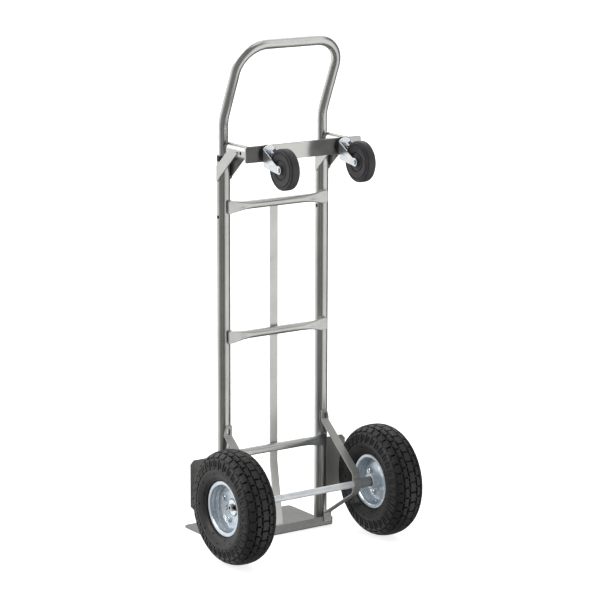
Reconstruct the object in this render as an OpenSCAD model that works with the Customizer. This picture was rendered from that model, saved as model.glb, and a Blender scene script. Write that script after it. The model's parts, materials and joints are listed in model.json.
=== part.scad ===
// Convertible hand truck with pneumatic main wheels and two swivel casters.
// Frame: X along the main axle, Y forward over the toe plate, Z up, ground at Z = 0.
// The rails stand in the plane Y = 0 and the truck is symmetric about X = 0; right is +X.

/* [Rails] */
// Distance between the rail centre lines
rail_spacing = 268; // [220:1:320]
// Outside diameter of the rail tubes
rail_d = 30; // [26:0.5:36]
// Wall of the rail and socket tubes
rail_wall = 2; // [1.5:0.1:3]
// Height of the top end of the rail tubes
rail_top_z = 886; // [700:1:1000]
// Height of the snap button holes in the rails
button_z = 760; // [650:1:860]
// Diameter of the snap button holes
button_hole_d = 8; // [6:0.1:10]

/* [Handle] */
// Outside diameter of the handle tube
handle_d = 22; // [19:0.5:25]
// Wall of the handle tube
handle_wall = 1.8; // [1.2:0.1:2.5]
// Height of the handle's top bar centre line
handle_top_z = 1150; // [1000:1:1250]
// Height at which the leg line and the leaning line cross
handle_knee_z = 977; // [930:1:1020]
// Rearward lean of the upper handle in degrees
handle_lean = 23.6; // [0:0.1:35]
// Bend radius of the knee
knee_r = 80; // [50:1:120]
// Bend radius of the two top corners
corner_r = 68; // [50:1:90]
// Length of leg below the snap button
leg_tail = 20; // [15:1:60]
// Radial running clearance of legs, hubs and swivels
run_gap = 0.05; // [0.02:0.01:0.1]

/* [Crossbars] */
// Diameter of the crossbar tubes
bar_d = 19; // [16:0.5:25]
// Height of the flattened crossbar ends
bar_flat_h = 29; // [24:1:34]
// Height of the top crossbar
bar_top_z = 783; // [700:1:850]
// Height of the middle crossbar
bar_mid_z = 485; // [400:1:600]
// Height of the bottom crossbar
bar_low_z = 209; // [180:1:300]
// Width of the centre strap
strap_w = 20; // [16:1:40]

/* [Toe plate] */
// Half width of the toe plate
toe_half_w = 150; // [120:1:200]
// Reach of the toe plate in front of the rail plane
toe_front_y = 152; // [100:1:220]
// Thickness of the toe plate
toe_t = 4; // [3:0.5:6]
// Height of the upturned rear lip
lip_h = 24; // [12:1:40]

/* [Main wheels] */
// Outside diameter of the tyres
tyre_d = 260; // [220:1:320]
// Section width of the tyres
tyre_w = 83; // [70:1:100]
// Distance of each wheel's middle plane from the centre
wheel_x = 201.5; // [180:0.5:240]
// Distance of the axle behind the rail plane
axle_back = 144.5; // [120:0.5:180]
// Diameter of the main axle
axle_d = 16; // [14:0.5:20]

/* [Sockets and casters] */
// Height of the socket tubes and of the caster beam
socket_z = 916; // [900:1:960]
// Front face of the caster beam, behind the rail plane
beam_front = 118; // [100:1:160]
// Height of the caster beam
beam_h = 36; // [30:1:50]
// Thickness of the caster beam
beam_t = 5; // [4:0.5:8]
// Half length of the caster beam
beam_half = 155; // [150:1:180]
// Distance of each caster's swivel axis from the centre
caster_x = 101.5; // [90:0.5:110]
// Diameter of the caster wheels
caster_d = 92; // [75:1:100]
// Tread width of the caster wheels
caster_w = 24; // [18:0.5:27]
// Caster wheel centre behind the rail plane
caster_back = 196; // [180:1:210]
// Drop of the caster wheel centre below the swivel axis
caster_drop = 26; // [0:1:35]

/* [Hidden] */
$fn = 96;
over = 1;        // overrun of a cutter past a face
fit = 0.05;      // gap between fixed parts
seat_gap = 0.1;  // gap between a rail and the flat metal behind it

rail_x = rail_spacing / 2;
rail_r = rail_d / 2;
bore_r = rail_r - rail_wall;
handle_r = handle_d / 2;
axle_r = axle_d / 2;
axle_z = tyre_d / 2;
lip_y = -(rail_r + 9);  // front face of the toe plate's lip
lip_t = 4;
lip_rear_y = lip_y - lip_t;
beam_rear = beam_front + beam_t;
kingpin_r = 5;

steel = [0.66, 0.66, 0.64];
zinc = [0.80, 0.82, 0.84];
black = [0.08, 0.08, 0.09];
rubber = [0.12, 0.12, 0.12];
grey_rubber = [0.24, 0.24, 0.25];

// ---- Helpers. side is 1 for right and -1 for left.

// rod or tube along X
module along_x(x0, x1, r, bore = 0) {
    translate([x0, 0, 0]) rotate([0, 90, 0]) difference() {
        cylinder(r = r, h = x1 - x0);
        if (bore > 0) translate([0, 0, -over]) cylinder(r = bore, h = x1 - x0 + 2 * over);
    }
}

// rod or tube along Y
module along_y(y0, y1, r, bore = 0) {
    translate([0, y0, 0]) rotate([-90, 0, 0]) difference() {
        cylinder(r = r, h = y1 - y0);
        if (bore > 0) translate([0, 0, -over]) cylinder(r = bore, h = y1 - y0 + 2 * over);
    }
}

module box(x0, x1, y0, y1, z0, z1) {
    translate([x0, y0, z0]) cube([x1 - x0, y1 - y0, z1 - z0]);
}

// plate standing in the Y-Z plane between x0 and x1
module yz_plate(x0, x1) {
    translate([x0, 0, 0]) rotate([90, 0, 90]) linear_extrude(height = x1 - x0) children();
}

// plate standing in the X-Z plane between y0 and y1
module xz_plate(y0, y1) {
    translate([0, y1, 0]) rotate([90, 0, 0]) linear_extrude(height = y1 - y0) children();
}

// the children and their mirror image across X = 0
module both() {
    children();
    mirror([1, 0, 0]) children();
}

// wheel frame: z runs outboard along the axle from the wheel's middle plane
module wheel_place(side) {
    translate([side * wheel_x, -axle_back, axle_z])
        mirror([side < 0 ? 1 : 0, 0, 0]) rotate([0, 90, 0]) children();
}

// caster frame: origin on the swivel axis, in the rail plane
module caster_place(side) {
    translate([side * caster_x, 0, socket_z]) children();
}

function backwards(points) = [for (i = [len(points) - 1 : -1 : 0]) points[i]];
// the points in reverse order, mirrored across the first coordinate's axis
function flip(points) = [for (p = backwards(points)) [p[0], -p[1]]];

// ---- Rails and crossbars

module rail(side) {
    color(steel) translate([side * rail_x, 0, 0]) difference() {
        translate([0, 0, toe_t]) cylinder(r = rail_r, h = rail_top_z - toe_t);
        translate([0, 0, toe_t - over]) cylinder(r = bore_r, h = rail_top_z - toe_t + 2 * over);
        translate([0, 0, button_z]) along_x(-rail_r - 2, rail_r + 2, button_hole_d / 2);
    }
}

bar_y = -(rail_r - 1.5);
bar_wall = 1.6;
bar_flat_t = 3.2;
flat_y = -(rail_r + seat_gap + bar_flat_t / 2);
flat_x = rail_x - 15;  // inboard edge of the flat
disc_t = 0.2;          // thickness of the slices hulled into the tail
// tail stations: distance inboard of the rail centre, height gained, thickness lost
tail_stations = [[62, 0, 0], [46, 0.6, 3], [30, 3.4, 8]];
function tail_x(i) = rail_x - tail_stations[i][0];
function tail_h(i) = bar_d + tail_stations[i][1];
function tail_t(i) = bar_d - tail_stations[i][2];
// the centre moves back to the flat's as the section thins
function tail_y(i) =
    bar_y + (flat_y - bar_y) * (1 - (tail_t(i) - bar_flat_t) / (bar_d - bar_flat_t));

module tail_disc(i) {
    translate([tail_x(i), tail_y(i), 0]) scale([1, tail_t(i) / bar_d, tail_h(i) / bar_d])
        rotate([0, 90, 0]) cylinder(r = bar_d / 2, h = disc_t, $fn = 32);
}

module tail_flat(x0, x1) {
    box(x0, x1, flat_y - bar_flat_t / 2, flat_y + bar_flat_t / 2, -bar_flat_h / 2, bar_flat_h / 2);
}

// tube whose ends fan out into flats behind the rails
module crossbar(z) {
    tube_end = tail_x(0);
    color(steel) translate([0, 0, z]) difference() {
        union() {
            translate([0, bar_y, 0])
                along_x(-tube_end - disc_t / 2, tube_end + disc_t / 2, bar_d / 2);
            both() {
                for (i = [0, 1]) hull() {
                    tail_disc(i);
                    tail_disc(i + 1);
                }
                hull() {
                    tail_disc(2);
                    tail_flat(flat_x, flat_x + disc_t);
                }
                tail_flat(flat_x, rail_x);
            }
        }
        translate([0, bar_y, 0]) along_x(-tube_end, tube_end, bar_d / 2 - bar_wall);
    }
}

strap_t = 4;
strap_y = bar_y + bar_d / 2 + fit;  // rear face of the upright part
strap_bend_z = 171;
strap_lower = 170;                  // lower part before it is cut off at the lip

// flat strap in front of the crossbars, leaning back to the top of the lip
module centre_strap() {
    lean = atan2(strap_y + strap_t / 2 - (lip_y - lip_t / 2), strap_bend_z - lip_h);
    color(steel) difference() {
        yz_plate(-strap_w / 2, strap_w / 2) union() {
            translate([strap_y, strap_bend_z]) square([strap_t, bar_top_z - strap_bend_z]);
            translate([strap_y + strap_t / 2, strap_bend_z]) rotate(-lean)
                translate([-strap_t / 2, -strap_lower]) square([strap_t, strap_lower + 1]);
        }
        box(-50, 50, -80, 40, -60, lip_h);
    }
}

// ---- Toe plate and wheel guards

toe_corner = 10;
lip_bend_r = 6;

module toe_outline() {
    w = toe_half_w;
    polygon([[-w, lip_rear_y], [w, lip_rear_y], [w, toe_front_y - toe_corner],
        [w - toe_corner, toe_front_y], [-w + toe_corner, toe_front_y],
        [-w, toe_front_y - toe_corner]]);
    for (s = [-1, 1])
        translate([s * (w - toe_corner), toe_front_y - toe_corner]) circle(r = toe_corner);
}

module toe_plate() {
    w = toe_half_w;
    color(steel) difference() {
        union() {
            linear_extrude(height = toe_t) toe_outline();
            box(-w, w, lip_rear_y, lip_y, 0, lip_h);
        }
        // rounded outside of the lip bend
        translate([0, lip_rear_y, 0]) difference() {
            box(-w - over, w + over, -over, lip_bend_r, -over, lip_bend_r);
            translate([0, lip_bend_r, lip_bend_r])
                along_x(-w - 2 * over, w + 2 * over, lip_bend_r);
        }
    }
}

guard_t = 2.5;
guard_inner_x = rail_x - 3;
guard_outer_x = 215;
guard_low_z = 80.5;
guard_top_z = 201.5;
guard_low_cut = 12;
guard_top_cut = 9;

// flat plate across the front of a rail, reaching outboard in front of the wheel
module wheel_guard() {
    color(steel) xz_plate(rail_r + fit, rail_r + fit + guard_t)
        polygon([[guard_inner_x, guard_low_z], [guard_outer_x - guard_low_cut, guard_low_z],
            [guard_outer_x, guard_low_z + guard_low_cut],
            [guard_outer_x, guard_top_z - guard_top_cut],
            [guard_outer_x - guard_top_cut, guard_top_z], [guard_inner_x, guard_top_z]]);
}

// ---- Axle brackets: one strip each, with a tab on the rail, an arm back to the axle,
// a half round saddle behind it, an arm forward to the lip and a foot

bracket_w = 20.5;
bracket_t = 3;
bracket_inner_x = rail_x - bracket_w / 2;
bracket_outer_x = bracket_inner_x + bracket_w;
bracket_top_z = 279;
bracket_foot_z = 13;
upper_slope = 38.4;  // degrees
lower_slope = 33;
upper_offset = 18;   // distance of an arm's centre line from the axle's
lower_offset = 17.5;
tab_y = -(rail_r + seat_gap + bracket_t);  // rear face of the tab
tab_mid_y = tab_y + bracket_t / 2;
foot_mid_y = lip_rear_y - fit - bracket_t / 2;
web_y = -axle_back + 0.7;  // upright run between the arms

// height of the two arms' centre lines
function upper_z(y) = axle_z + upper_offset * cos(upper_slope)
    + (y + axle_back + upper_offset * sin(upper_slope)) * tan(upper_slope);
function lower_z(y) = axle_z - lower_offset * cos(lower_slope)
    - (y + axle_back + lower_offset * sin(lower_slope)) * tan(lower_slope);

// centre line of the strip in Y and Z, with sharp corners, from the tab down to the foot
bracket_line = [[tab_mid_y, bracket_top_z], [tab_mid_y, upper_z(tab_mid_y)],
    [web_y, upper_z(web_y)], [web_y, lower_z(web_y)],
    [foot_mid_y, lower_z(foot_mid_y)], [foot_mid_y, bracket_foot_z]];
// centre line bend radius at each point; the first is the open end
bend_radii = [0, 9, 14, 12, 9];
bend_steps = 5;

function heading(i) = (bracket_line[i + 1] - bracket_line[i])
    / norm(bracket_line[i + 1] - bracket_line[i]);
function left_of(v) = [-v[1], v[0]];
function turned(v, a) = [v[0] * cos(a) - v[1] * sin(a), v[0] * sin(a) + v[1] * cos(a)];
// points of one bend, offset to the left of the centre line
function bend(i, offset) = let (
        before = heading(i - 1),
        after = heading(i),
        way = cross(before, after) > 0 ? 1 : -1,
        turn = acos(before * after),
        r = bend_radii[i],
        centre = bracket_line[i] - before * r * tan(turn / 2) + left_of(before) * way * r)
    [for (k = [0 : bend_steps])
        centre - way * (r - way * offset) * turned(left_of(before), way * turn * k / bend_steps)];

// arc round the back of the axle, from top to bottom
saddle_r = axle_r + bracket_t + fit;
saddle_half = acos((-web_y - axle_back + bracket_t / 2) / saddle_r);
saddle_steps = 18;
saddle = [for (k = [0 : saddle_steps])
    let (a = 180 - saddle_half + 2 * saddle_half * k / saddle_steps)
    [-axle_back + saddle_r * cos(a), axle_z + saddle_r * sin(a)]];

// one face of the strip; the rear face (negative offset) takes in the saddle
function strip_face(offset) = concat([bracket_line[0] + offset * left_of(heading(0))],
    bend(1, offset), bend(2, offset), offset < 0 ? saddle : [], bend(3, offset), bend(4, offset),
    [bracket_line[5] + offset * left_of(heading(4))]);

module axle_bracket() {
    x1 = bracket_outer_x;
    top = bracket_top_z;
    tab_cut = [tab_y - over, tab_y + bracket_t + over];
    color(steel) difference() {
        yz_plate(bracket_inner_x, x1)
            polygon(concat(strip_face(-bracket_t / 2), backwards(strip_face(bracket_t / 2))));
        translate([0, -axle_back, axle_z]) along_x(0, 400, axle_r + fit);
        // small hole above the saddle
        translate([bracket_inner_x + 4.5, 0, axle_z + 16.5]) along_y(web_y - 3, web_y + 3, 2);
        // window and cut corner of the tab
        box(rail_x - 4.5, rail_x + 4.5, tab_cut[0], tab_cut[1], top - 21, top - 8);
        xz_plate(tab_cut[0], tab_cut[1])
            polygon([[x1 - 5, top + over], [x1 + over, top + over], [x1 + over, top - 20]]);
    }
}

// ---- Main axle and its small parts

hub_in = -31.5;  // ends of the hub barrel, from the wheel's middle plane
hub_out = 3;
axle_end = wheel_x + 12.5;
axle_chamfer = 1;
cotter_x = wheel_x + 8.6;
cotter_tilt = -12;
cotter_r = 1.6;

module axle() {
    shank_end = axle_end - axle_chamfer;
    color(zinc) translate([0, -axle_back, axle_z]) difference() {
        union() {
            along_x(-shank_end, shank_end, axle_r);
            both() translate([shank_end, 0, 0]) rotate([0, 90, 0])
                cylinder(r1 = axle_r, r2 = axle_r - axle_chamfer, h = axle_chamfer);
        }
        // blind end bores and cotter holes
        both() {
            along_x(axle_end - 8, axle_end + over, 4.5);
            translate([cotter_x, 0, 0]) rotate([cotter_tilt, 0, 0])
                along_y(-20, 20, cotter_r + 0.1);
        }
    }
}

// sleeves between the brackets and the hubs
module axle_spacers() {
    color(steel) translate([0, -axle_back, axle_z]) both()
        along_x(bracket_outer_x, wheel_x + hub_in - 0.5, 12, axle_r + fit);
}

module axle_washers() {
    color(zinc) both() wheel_place(1) translate([0, 0, hub_out + 0.3]) difference() {
        cylinder(r = 19, h = 2.5);
        translate([0, 0, -over]) cylinder(r = axle_r + 0.1, h = 5);
    }
}

// shank with a ring at the rear and a bent tip at the front
module cotter_pins() {
    color(black) both() translate([cotter_x, -axle_back, axle_z]) rotate([cotter_tilt, 0, 0]) {
        along_y(-13, 14, cotter_r);
        translate([0, -15.5, 0]) rotate([0, 90, 0])
            rotate_extrude() translate([3.2, 0]) circle(r = 1.4, $fn = 24);
        translate([0, 13.4, 0]) rotate([50, 0, 0]) along_y(0, 6, 1.2);
    }
}

// ---- Sockets, gussets, caster beam and collars

socket_mouth_y = -34;
socket_hole_y = -92;
gusset_t = 2.5;
gusset_gap = 0.02;
beam_corner = 4;
collar_t = 12.5;       // cap outside the tube
collar_in = 40;        // sleeve inside the tube
collar_chamfer = 1.2;

module socket_tube() {
    color(steel) translate([rail_x, 0, socket_z]) difference() {
        along_y(-beam_front, socket_mouth_y, rail_r);
        along_y(-beam_front - over, socket_mouth_y + over, bore_r);
        translate([0, socket_hole_y, 0]) along_x(-rail_r - 2, rail_r + 2, button_hole_d / 2);
    }
}

// the two flat side gussets that join a rail and its socket tube
module gussets() {
    reach = rail_r + gusset_gap;
    color(steel) for (x = [rail_x + reach, rail_x - reach - gusset_t])
        yz_plate(x, x + gusset_t)
            polygon([[-43, socket_z], [-83, socket_z], [0, 842], [3, 842], [3, 875]]);
}

module caster_beam() {
    c = beam_corner;
    color(steel) difference() {
        xz_plate(-beam_rear, -beam_front) translate([0, socket_z]) {
            square([2 * beam_half - 2 * c, beam_h], center = true);
            square([2 * beam_half, beam_h - 2 * c], center = true);
            for (x = [-1, 1], z = [-1, 1])
                translate([x * (beam_half - c), z * (beam_h / 2 - c)]) circle(r = c);
        }
        both() translate([caster_x, 0, socket_z])
            along_y(-beam_rear - over, -beam_front + over, kingpin_r);
    }
}

// collar: cap above z = 0, sleeve below it inside the tube
module collar() {
    straight = collar_t - collar_chamfer;
    difference() {
        union() {
            cylinder(r = rail_r, h = straight);
            translate([0, 0, straight])
                cylinder(r1 = rail_r, r2 = rail_r - collar_chamfer, h = collar_chamfer);
            translate([0, 0, -collar_in]) cylinder(r = bore_r - 0.02, h = collar_in + 1);
        }
        translate([0, 0, -collar_in - over])
            cylinder(r = handle_r + run_gap, h = collar_in + collar_t + 2 * over);
    }
}

module rail_collars() {
    color(black) both() translate([rail_x, 0, rail_top_z]) collar();
}

module socket_collars() {
    color(black) both() translate([rail_x, socket_mouth_y, socket_z]) rotate([-90, 0, 0]) collar();
}

// ---- Caster mounting hardware, stacked rearwards from the beam's rear face

race_r = 20;
cup_r = 18.6;
race_h = 3.6;
race_bevel = 1.4;
cup_start = 5.3;
cup_rim = 1.6;
crown_y = -(beam_rear + 11);  // front face of the fork's crown plate
crown_t = 2.6;
washer_start = 13.9;
washer_end = washer_start + 2;
nut_h = 7.1;
kingpin_end = 25;
kingpin_chamfer = 1;
hex_r = 9.2;

module kingpins() {
    shank_r = kingpin_r - run_gap;
    color(zinc) both() translate([caster_x, 0, socket_z]) {
        along_y(-beam_rear - kingpin_end + kingpin_chamfer, -beam_front, shank_r);
        translate([0, -beam_rear - kingpin_end, 0]) rotate([-90, 0, 0])
            cylinder(r1 = 4, r2 = shank_r, h = kingpin_chamfer);
        rotate([-90, 0, 0]) translate([0, 0, -beam_front]) cylinder(r = hex_r, h = 6.4, $fn = 6);
    }
}

module kingpin_nuts() {
    color(zinc) both() translate([caster_x, 0, socket_z]) rotate([-90, 0, 0])
        translate([0, 0, -beam_rear - washer_end - nut_h]) difference() {
            cylinder(r = hex_r, h = nut_h, $fn = 6);
            translate([0, 0, -over]) cylinder(r = kingpin_r - run_gap, h = 10);
        }
}

module kingpin_washers() {
    color(zinc) both() translate([caster_x, 0, socket_z])
        along_y(-beam_rear - washer_end, -beam_rear - washer_start, 10.5, kingpin_r - run_gap);
}

module raceways() {
    color(black) both() translate([caster_x, 0, socket_z])
        rotate([90, 0, 0]) translate([0, 0, beam_rear]) difference() {
            union() {
                cylinder(r = race_r, h = race_h);
                translate([0, 0, race_h]) cylinder(r1 = race_r, r2 = cup_r, h = race_bevel);
            }
            translate([0, 0, -over]) cylinder(r = kingpin_r, h = 8);
        }
}

// ---- Handle

leg_end_z = button_z - leg_tail;
knee_h = knee_r * tan(handle_lean / 2);  // knee's tangent length
lean_len = (handle_top_z - handle_knee_z) / cos(handle_lean);
bend_slim = 0.2;  // bends are slightly thinner and lie inside the ends of the straights
overlap = 1;      // run of a straight past the start of a bend

module handle_ring(slim = 0) {
    difference() {
        circle(r = handle_r - slim, $fn = 48);
        circle(r = handle_r - handle_wall + slim, $fn = 48);
    }
}

module handle_half() {
    straight = lean_len - knee_h - corner_r;
    // leg
    translate([rail_x, 0, leg_end_z])
        linear_extrude(height = handle_knee_z - knee_h - leg_end_z + overlap) handle_ring();
    // knee
    translate([rail_x, -knee_r, handle_knee_z - knee_h]) rotate([90, 0, 90])
        rotate_extrude(angle = handle_lean, $fn = 64)
            translate([knee_r, 0]) handle_ring(bend_slim);
    // leaning side and top corner
    translate([0, 0, handle_knee_z]) rotate([handle_lean, 0, 0]) {
        translate([rail_x, 0, knee_h - overlap])
            linear_extrude(height = straight + 2 * overlap) handle_ring();
        translate([rail_x - corner_r, 0, lean_len - corner_r]) rotate([90, 0, 0])
            rotate_extrude(angle = 90, $fn = 48) translate([corner_r, 0]) handle_ring(bend_slim);
    }
}

module handle_tube() {
    top_half = rail_x - corner_r;
    color(steel) difference() {
        union() {
            both() handle_half();
            // top bar
            translate([0, 0, handle_knee_z]) rotate([handle_lean, 0, 0])
                translate([-top_half - overlap, 0, lean_len]) rotate([0, 90, 0])
                    linear_extrude(height = 2 * top_half + 2 * overlap) handle_ring();
        }
        // button holes in the outboard walls
        for (s = [-1, 1]) translate([s * rail_x, 0, button_z]) mirror([s < 0 ? 1 : 0, 0, 0])
            along_x(handle_r - handle_wall - 1.5, handle_r + 2, button_hole_d / 2);
    }
}

spring_t = 0.8;
spring_w = 5;
spring_inner = -8.1;  // inboard face of the inboard leaf, from the leg's centre
spring_outer = 2.6;   // inboard face of the outboard leaf
spring_low_z = button_z - 10;
spring_top_z = button_z + 20;

// folded leaf spring inside each leg, behind the button
module snap_springs() {
    color(zinc) both() translate([rail_x, 0, 0]) {
        for (x = [spring_inner, spring_outer])
            box(x, x + spring_t, -spring_w / 2, spring_w / 2, spring_low_z, spring_top_z);
        translate([(spring_inner + spring_t + spring_outer) / 2, 0, spring_top_z])
            rotate([90, 0, 0]) rotate_extrude(angle = 180)
                translate([(spring_outer - spring_inner - spring_t) / 2, -spring_w / 2])
                    square([spring_t, spring_w]);
    }
}

button_base = 3.6;  // from the leg's centre
button_shoulder = handle_r - 1.6;
button_chamfer = 1.2;

module snap_button(side) {
    r = button_hole_d / 2 - 0.2;
    color(zinc) translate([side * rail_x, 0, button_z])
        mirror([side < 0 ? 1 : 0, 0, 0]) rotate([0, 90, 0]) {
            translate([0, 0, button_base]) cylinder(r = r, h = button_shoulder - button_base);
            translate([0, 0, button_shoulder])
                cylinder(r1 = r, r2 = r - button_chamfer, h = button_chamfer);
        }
}

// ---- Main wheels. Profile points are [radius, distance from the middle plane].

flange_r = 63;
bead_s = 25.5;  // half width over the beads
tyre_mid_r = tyre_d / 2 - 36;
tyre_half = tyre_w / 2;
tread_t = 10;
side_t = 5;
groove_w = 3;

// rounded tread half of the section
function squash(v) = sign(v) * pow(abs(v), 0.82);
function tread_point(a, r, half) =
    [tyre_mid_r + (r - tyre_mid_r) * squash(cos(a)), half * squash(sin(a))];
// sidewall curve from the widest point (a = 0) to its foot at the rim (a = 90)
function side_point(a, foot_r, foot_s, half) =
    [tyre_mid_r - (tyre_mid_r - foot_r) * sin(a), foot_s + (half - foot_s) * cos(a)];

tread_outer = [for (i = [0 : 24]) tread_point(-90 + 7.5 * i, tyre_d / 2, tyre_half)];
tread_inner = [for (i = [0 : 20])
    tread_point(90 - 9 * i, tyre_d / 2 - tread_t, tyre_half - side_t)];
side_outer = [for (i = [1 : 6]) side_point(15 * i, flange_r + 0.6, bead_s, tyre_half)];
side_inner = [for (i = [5 : -1 : 1]) side_point(18 * i, 60, 17.5, tyre_half - side_t)];
bead = [[57, bead_s], [55.2, bead_s - 1.6], [55.2, 18]];

module tyre(side) {
    color(rubber) wheel_place(side) difference() {
        rotate_extrude($fn = 128) polygon(concat(tread_outer, side_outer, bead, side_inner,
            tread_inner, flip(side_inner), flip(bead), flip(side_outer)));
        // two grooves round the tread
        for (s = [-20, 20]) translate([0, 0, s - groove_w / 2]) difference() {
            cylinder(r = tyre_d / 2 + 2, h = groove_w);
            translate([0, 0, -over]) cylinder(r = tyre_d / 2 - 7, h = groove_w + 2 * over);
        }
    }
}

tube_ring_r = 89;
tube_r = 26;
tube_wall = 2;
valve_s = 11;  // valve's distance outboard of the middle plane

// hollow ring with a valve stem behind the axle
module inner_tube(side) {
    color(black) wheel_place(side) difference() {
        union() {
            rotate_extrude($fn = 96) translate([tube_ring_r, 0]) circle(r = tube_r, $fn = 48);
            translate([0, -40, valve_s]) rotate([90, 0, 0]) cylinder(r = 3.5, h = 26);
        }
        rotate_extrude($fn = 96)
            translate([tube_ring_r, 0]) circle(r = tube_r - tube_wall, $fn = 48);
        translate([0, -36, valve_s]) rotate([90, 0, 0]) cylinder(r = 1.5, h = 10);
    }
}

rim_profile = [[19.5, 0.1], [46.5, 0.1], [55, 8.5], [55, 25.8], [58, 26.1], [62.2, 26.3],
    [flange_r, 27.2], [62.6, 28.4], [61.5, 28.7], [57, 28.7], [54.4, 27.4], [53, 25.6],
    [53, 9.4], [45.4, 2.1], [19.5, 2.1]];
bolt_ring_r = 35;
bolt_count = 4;
bolt_angle = 25;
bolt_r = 4;
bolt_hole_r = 4.2;
bolt_hex_r = 7.4;

module bolt_ring() {
    for (k = [0 : bolt_count - 1])
        rotate([0, 0, 360 / bolt_count * k + bolt_angle]) translate([0, bolt_ring_r, 0]) children();
}

// one pressed half of the rim; only the outer one has a valve hole
module rim_half(side, outer) {
    color(zinc) wheel_place(side) mirror([0, 0, outer ? 0 : 1]) difference() {
        rotate_extrude($fn = 96) polygon(rim_profile);
        bolt_ring() translate([0, 0, -over]) cylinder(r = bolt_hole_r, h = 5, $fn = 32);
        if (outer) translate([0, -50, valve_s]) rotate([90, 0, 0])
            cylinder(r = 4.2, h = 8, $fn = 32);
    }
}

hub_r = 18;
hub_bore_r = 15;

// barrel with a bolting flange and a cone behind it
module hub(side) {
    color(zinc) wheel_place(side) difference() {
        union() {
            translate([0, 0, hub_in]) cylinder(r = hub_r, h = hub_out - hub_in);
            translate([0, 0, -5.1]) cylinder(r = 44, h = 2.9);
            translate([0, 0, -9.1]) cylinder(r1 = hub_r, r2 = 22, h = 4.1);
        }
        translate([0, 0, hub_in - over])
            cylinder(r = hub_bore_r, h = hub_out - hub_in + 2 * over);
        bolt_ring() translate([0, 0, -12]) cylinder(r = bolt_hole_r, h = 12, $fn = 32);
    }
}

bearing_h = 9;
bearing_recess = 0.6;

module bearing_shape() {
    difference() {
        cylinder(r = hub_bore_r - 0.02, h = bearing_h);
        translate([0, 0, -over]) cylinder(r = axle_r + run_gap, h = bearing_h + 2 * over);
        // ring recess in each face
        for (z = [-over, bearing_h - bearing_recess]) translate([0, 0, z]) difference() {
            cylinder(r = 13.2, h = bearing_recess + over);
            translate([0, 0, -over]) cylinder(r = 10, h = 4);
        }
    }
}

module bearings(side) {
    color(zinc) wheel_place(side)
        for (z = [hub_in, hub_out - bearing_h]) translate([0, 0, z]) bearing_shape();
}

module rim_bolts(side) {
    color(zinc) wheel_place(side) bolt_ring() {
        translate([0, 0, -13]) cylinder(r = bolt_r, h = 15.2, $fn = 32);
        // hexagon head with a chamfered top
        translate([0, 0, 2.15]) difference() {
            cylinder(r = bolt_hex_r, h = 5.2, $fn = 6);
            difference() {
                translate([0, 0, 4]) cylinder(r = 9, h = 2);
                translate([0, 0, 3.9]) cylinder(r1 = bolt_hex_r, r2 = 6.2, h = 1.31);
            }
        }
    }
}

module rim_nuts(side) {
    color(zinc) wheel_place(side) bolt_ring() translate([0, 0, -11.6]) difference() {
        cylinder(r = bolt_hex_r, h = 6.4, $fn = 6);
        translate([0, 0, -over]) cylinder(r = bolt_r + 0.05, h = 9, $fn = 32);
    }
}

// ---- Casters

leg_in = caster_w / 2 + 2.6;  // inner and outer faces of the fork legs
leg_out = leg_in + 2.6;
leg_eye_r = 9.5;
crown_r = 22;
pin_r = 4;
bush_r = 6;

module fork(side) {
    wheel_y = -caster_back;
    wheel_z = -caster_drop;
    color(zinc) caster_place(side) difference() {
        union() {
            // crown plate, trimmed to the width over the legs
            intersection() {
                along_y(crown_y - crown_t, crown_y, crown_r);
                box(-leg_out, leg_out, -200, 0, -26, crown_r);
            }
            // legs
            for (s = [-1, 1]) {
                yz_plate(s > 0 ? leg_in : -leg_out, s > 0 ? leg_out : -leg_in) {
                    polygon([[crown_y, -8], [crown_y, 11], [crown_y - 3, 12],
                        [wheel_y + 5, wheel_z + 8.1], [wheel_y - 2, wheel_z - leg_eye_r + 0.2],
                        [-139, -26.4], [-139, -8]]);
                    translate([wheel_y, wheel_z]) circle(r = leg_eye_r);
                }
            }
        }
        along_y(-180, -100, kingpin_r);
        translate([0, wheel_y, wheel_z]) along_x(-30, 30, pin_r);
    }
}

// tapered cup between the raceway and the crown plate
module swivel_cup(side) {
    cone_h = -crown_y - beam_rear - cup_start - cup_rim;
    color(black) caster_place(side)
        rotate([90, 0, 0]) translate([0, 0, beam_rear + cup_start]) difference() {
            union() {
                cylinder(r = cup_r, h = cup_rim);
                translate([0, 0, cup_rim]) cylinder(r1 = cup_r, r2 = 15.5, h = cone_h);
            }
            translate([0, 0, -over]) cylinder(r = kingpin_r, h = 10);
        }
}

module caster_rivet(side) {
    head_r = 6.4;
    rim_h = 1.2;
    color(zinc) caster_place(side) translate([0, -caster_back, -caster_drop]) {
        along_x(-leg_out, leg_out, pin_r - 0.02);
        both() translate([leg_out, 0, 0]) rotate([0, 90, 0]) {
            cylinder(r = head_r, h = rim_h);
            translate([0, 0, rim_h]) cylinder(r1 = head_r, r2 = 4.2, h = 1.3);
        }
    }
}

module caster_bush(side) {
    color(zinc) caster_place(side) translate([0, -caster_back, -caster_drop])
        along_x(-leg_in + 0.1, leg_in - 0.1, bush_r, pin_r);
}

// side face of the wheel from bore to tread: radius, depth in from the nominal face
caster_face = [[bush_r + run_gap, -1.4], [13, -1.4], [13.8, 0.6], [24, 0.6], [24.7, 1.8],
    [25.8, 1.8], [26.5, 0.4], [38, 0], [38.7, 1.2], [39.6, 1.2], [40.3, 0.2], [43.4, 1.2],
    [45.2, 3.4], [caster_d / 2, 6.5]];
caster_profile = [for (p = caster_face) [p[0], p[1] - caster_w / 2]];

module caster_wheel(side) {
    color(grey_rubber) caster_place(side) translate([0, -caster_back, -caster_drop])
        rotate([0, 90, 0]) rotate_extrude($fn = 96)
            polygon(concat(caster_profile, flip(caster_profile)));
}

// ---- Nodes

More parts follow.
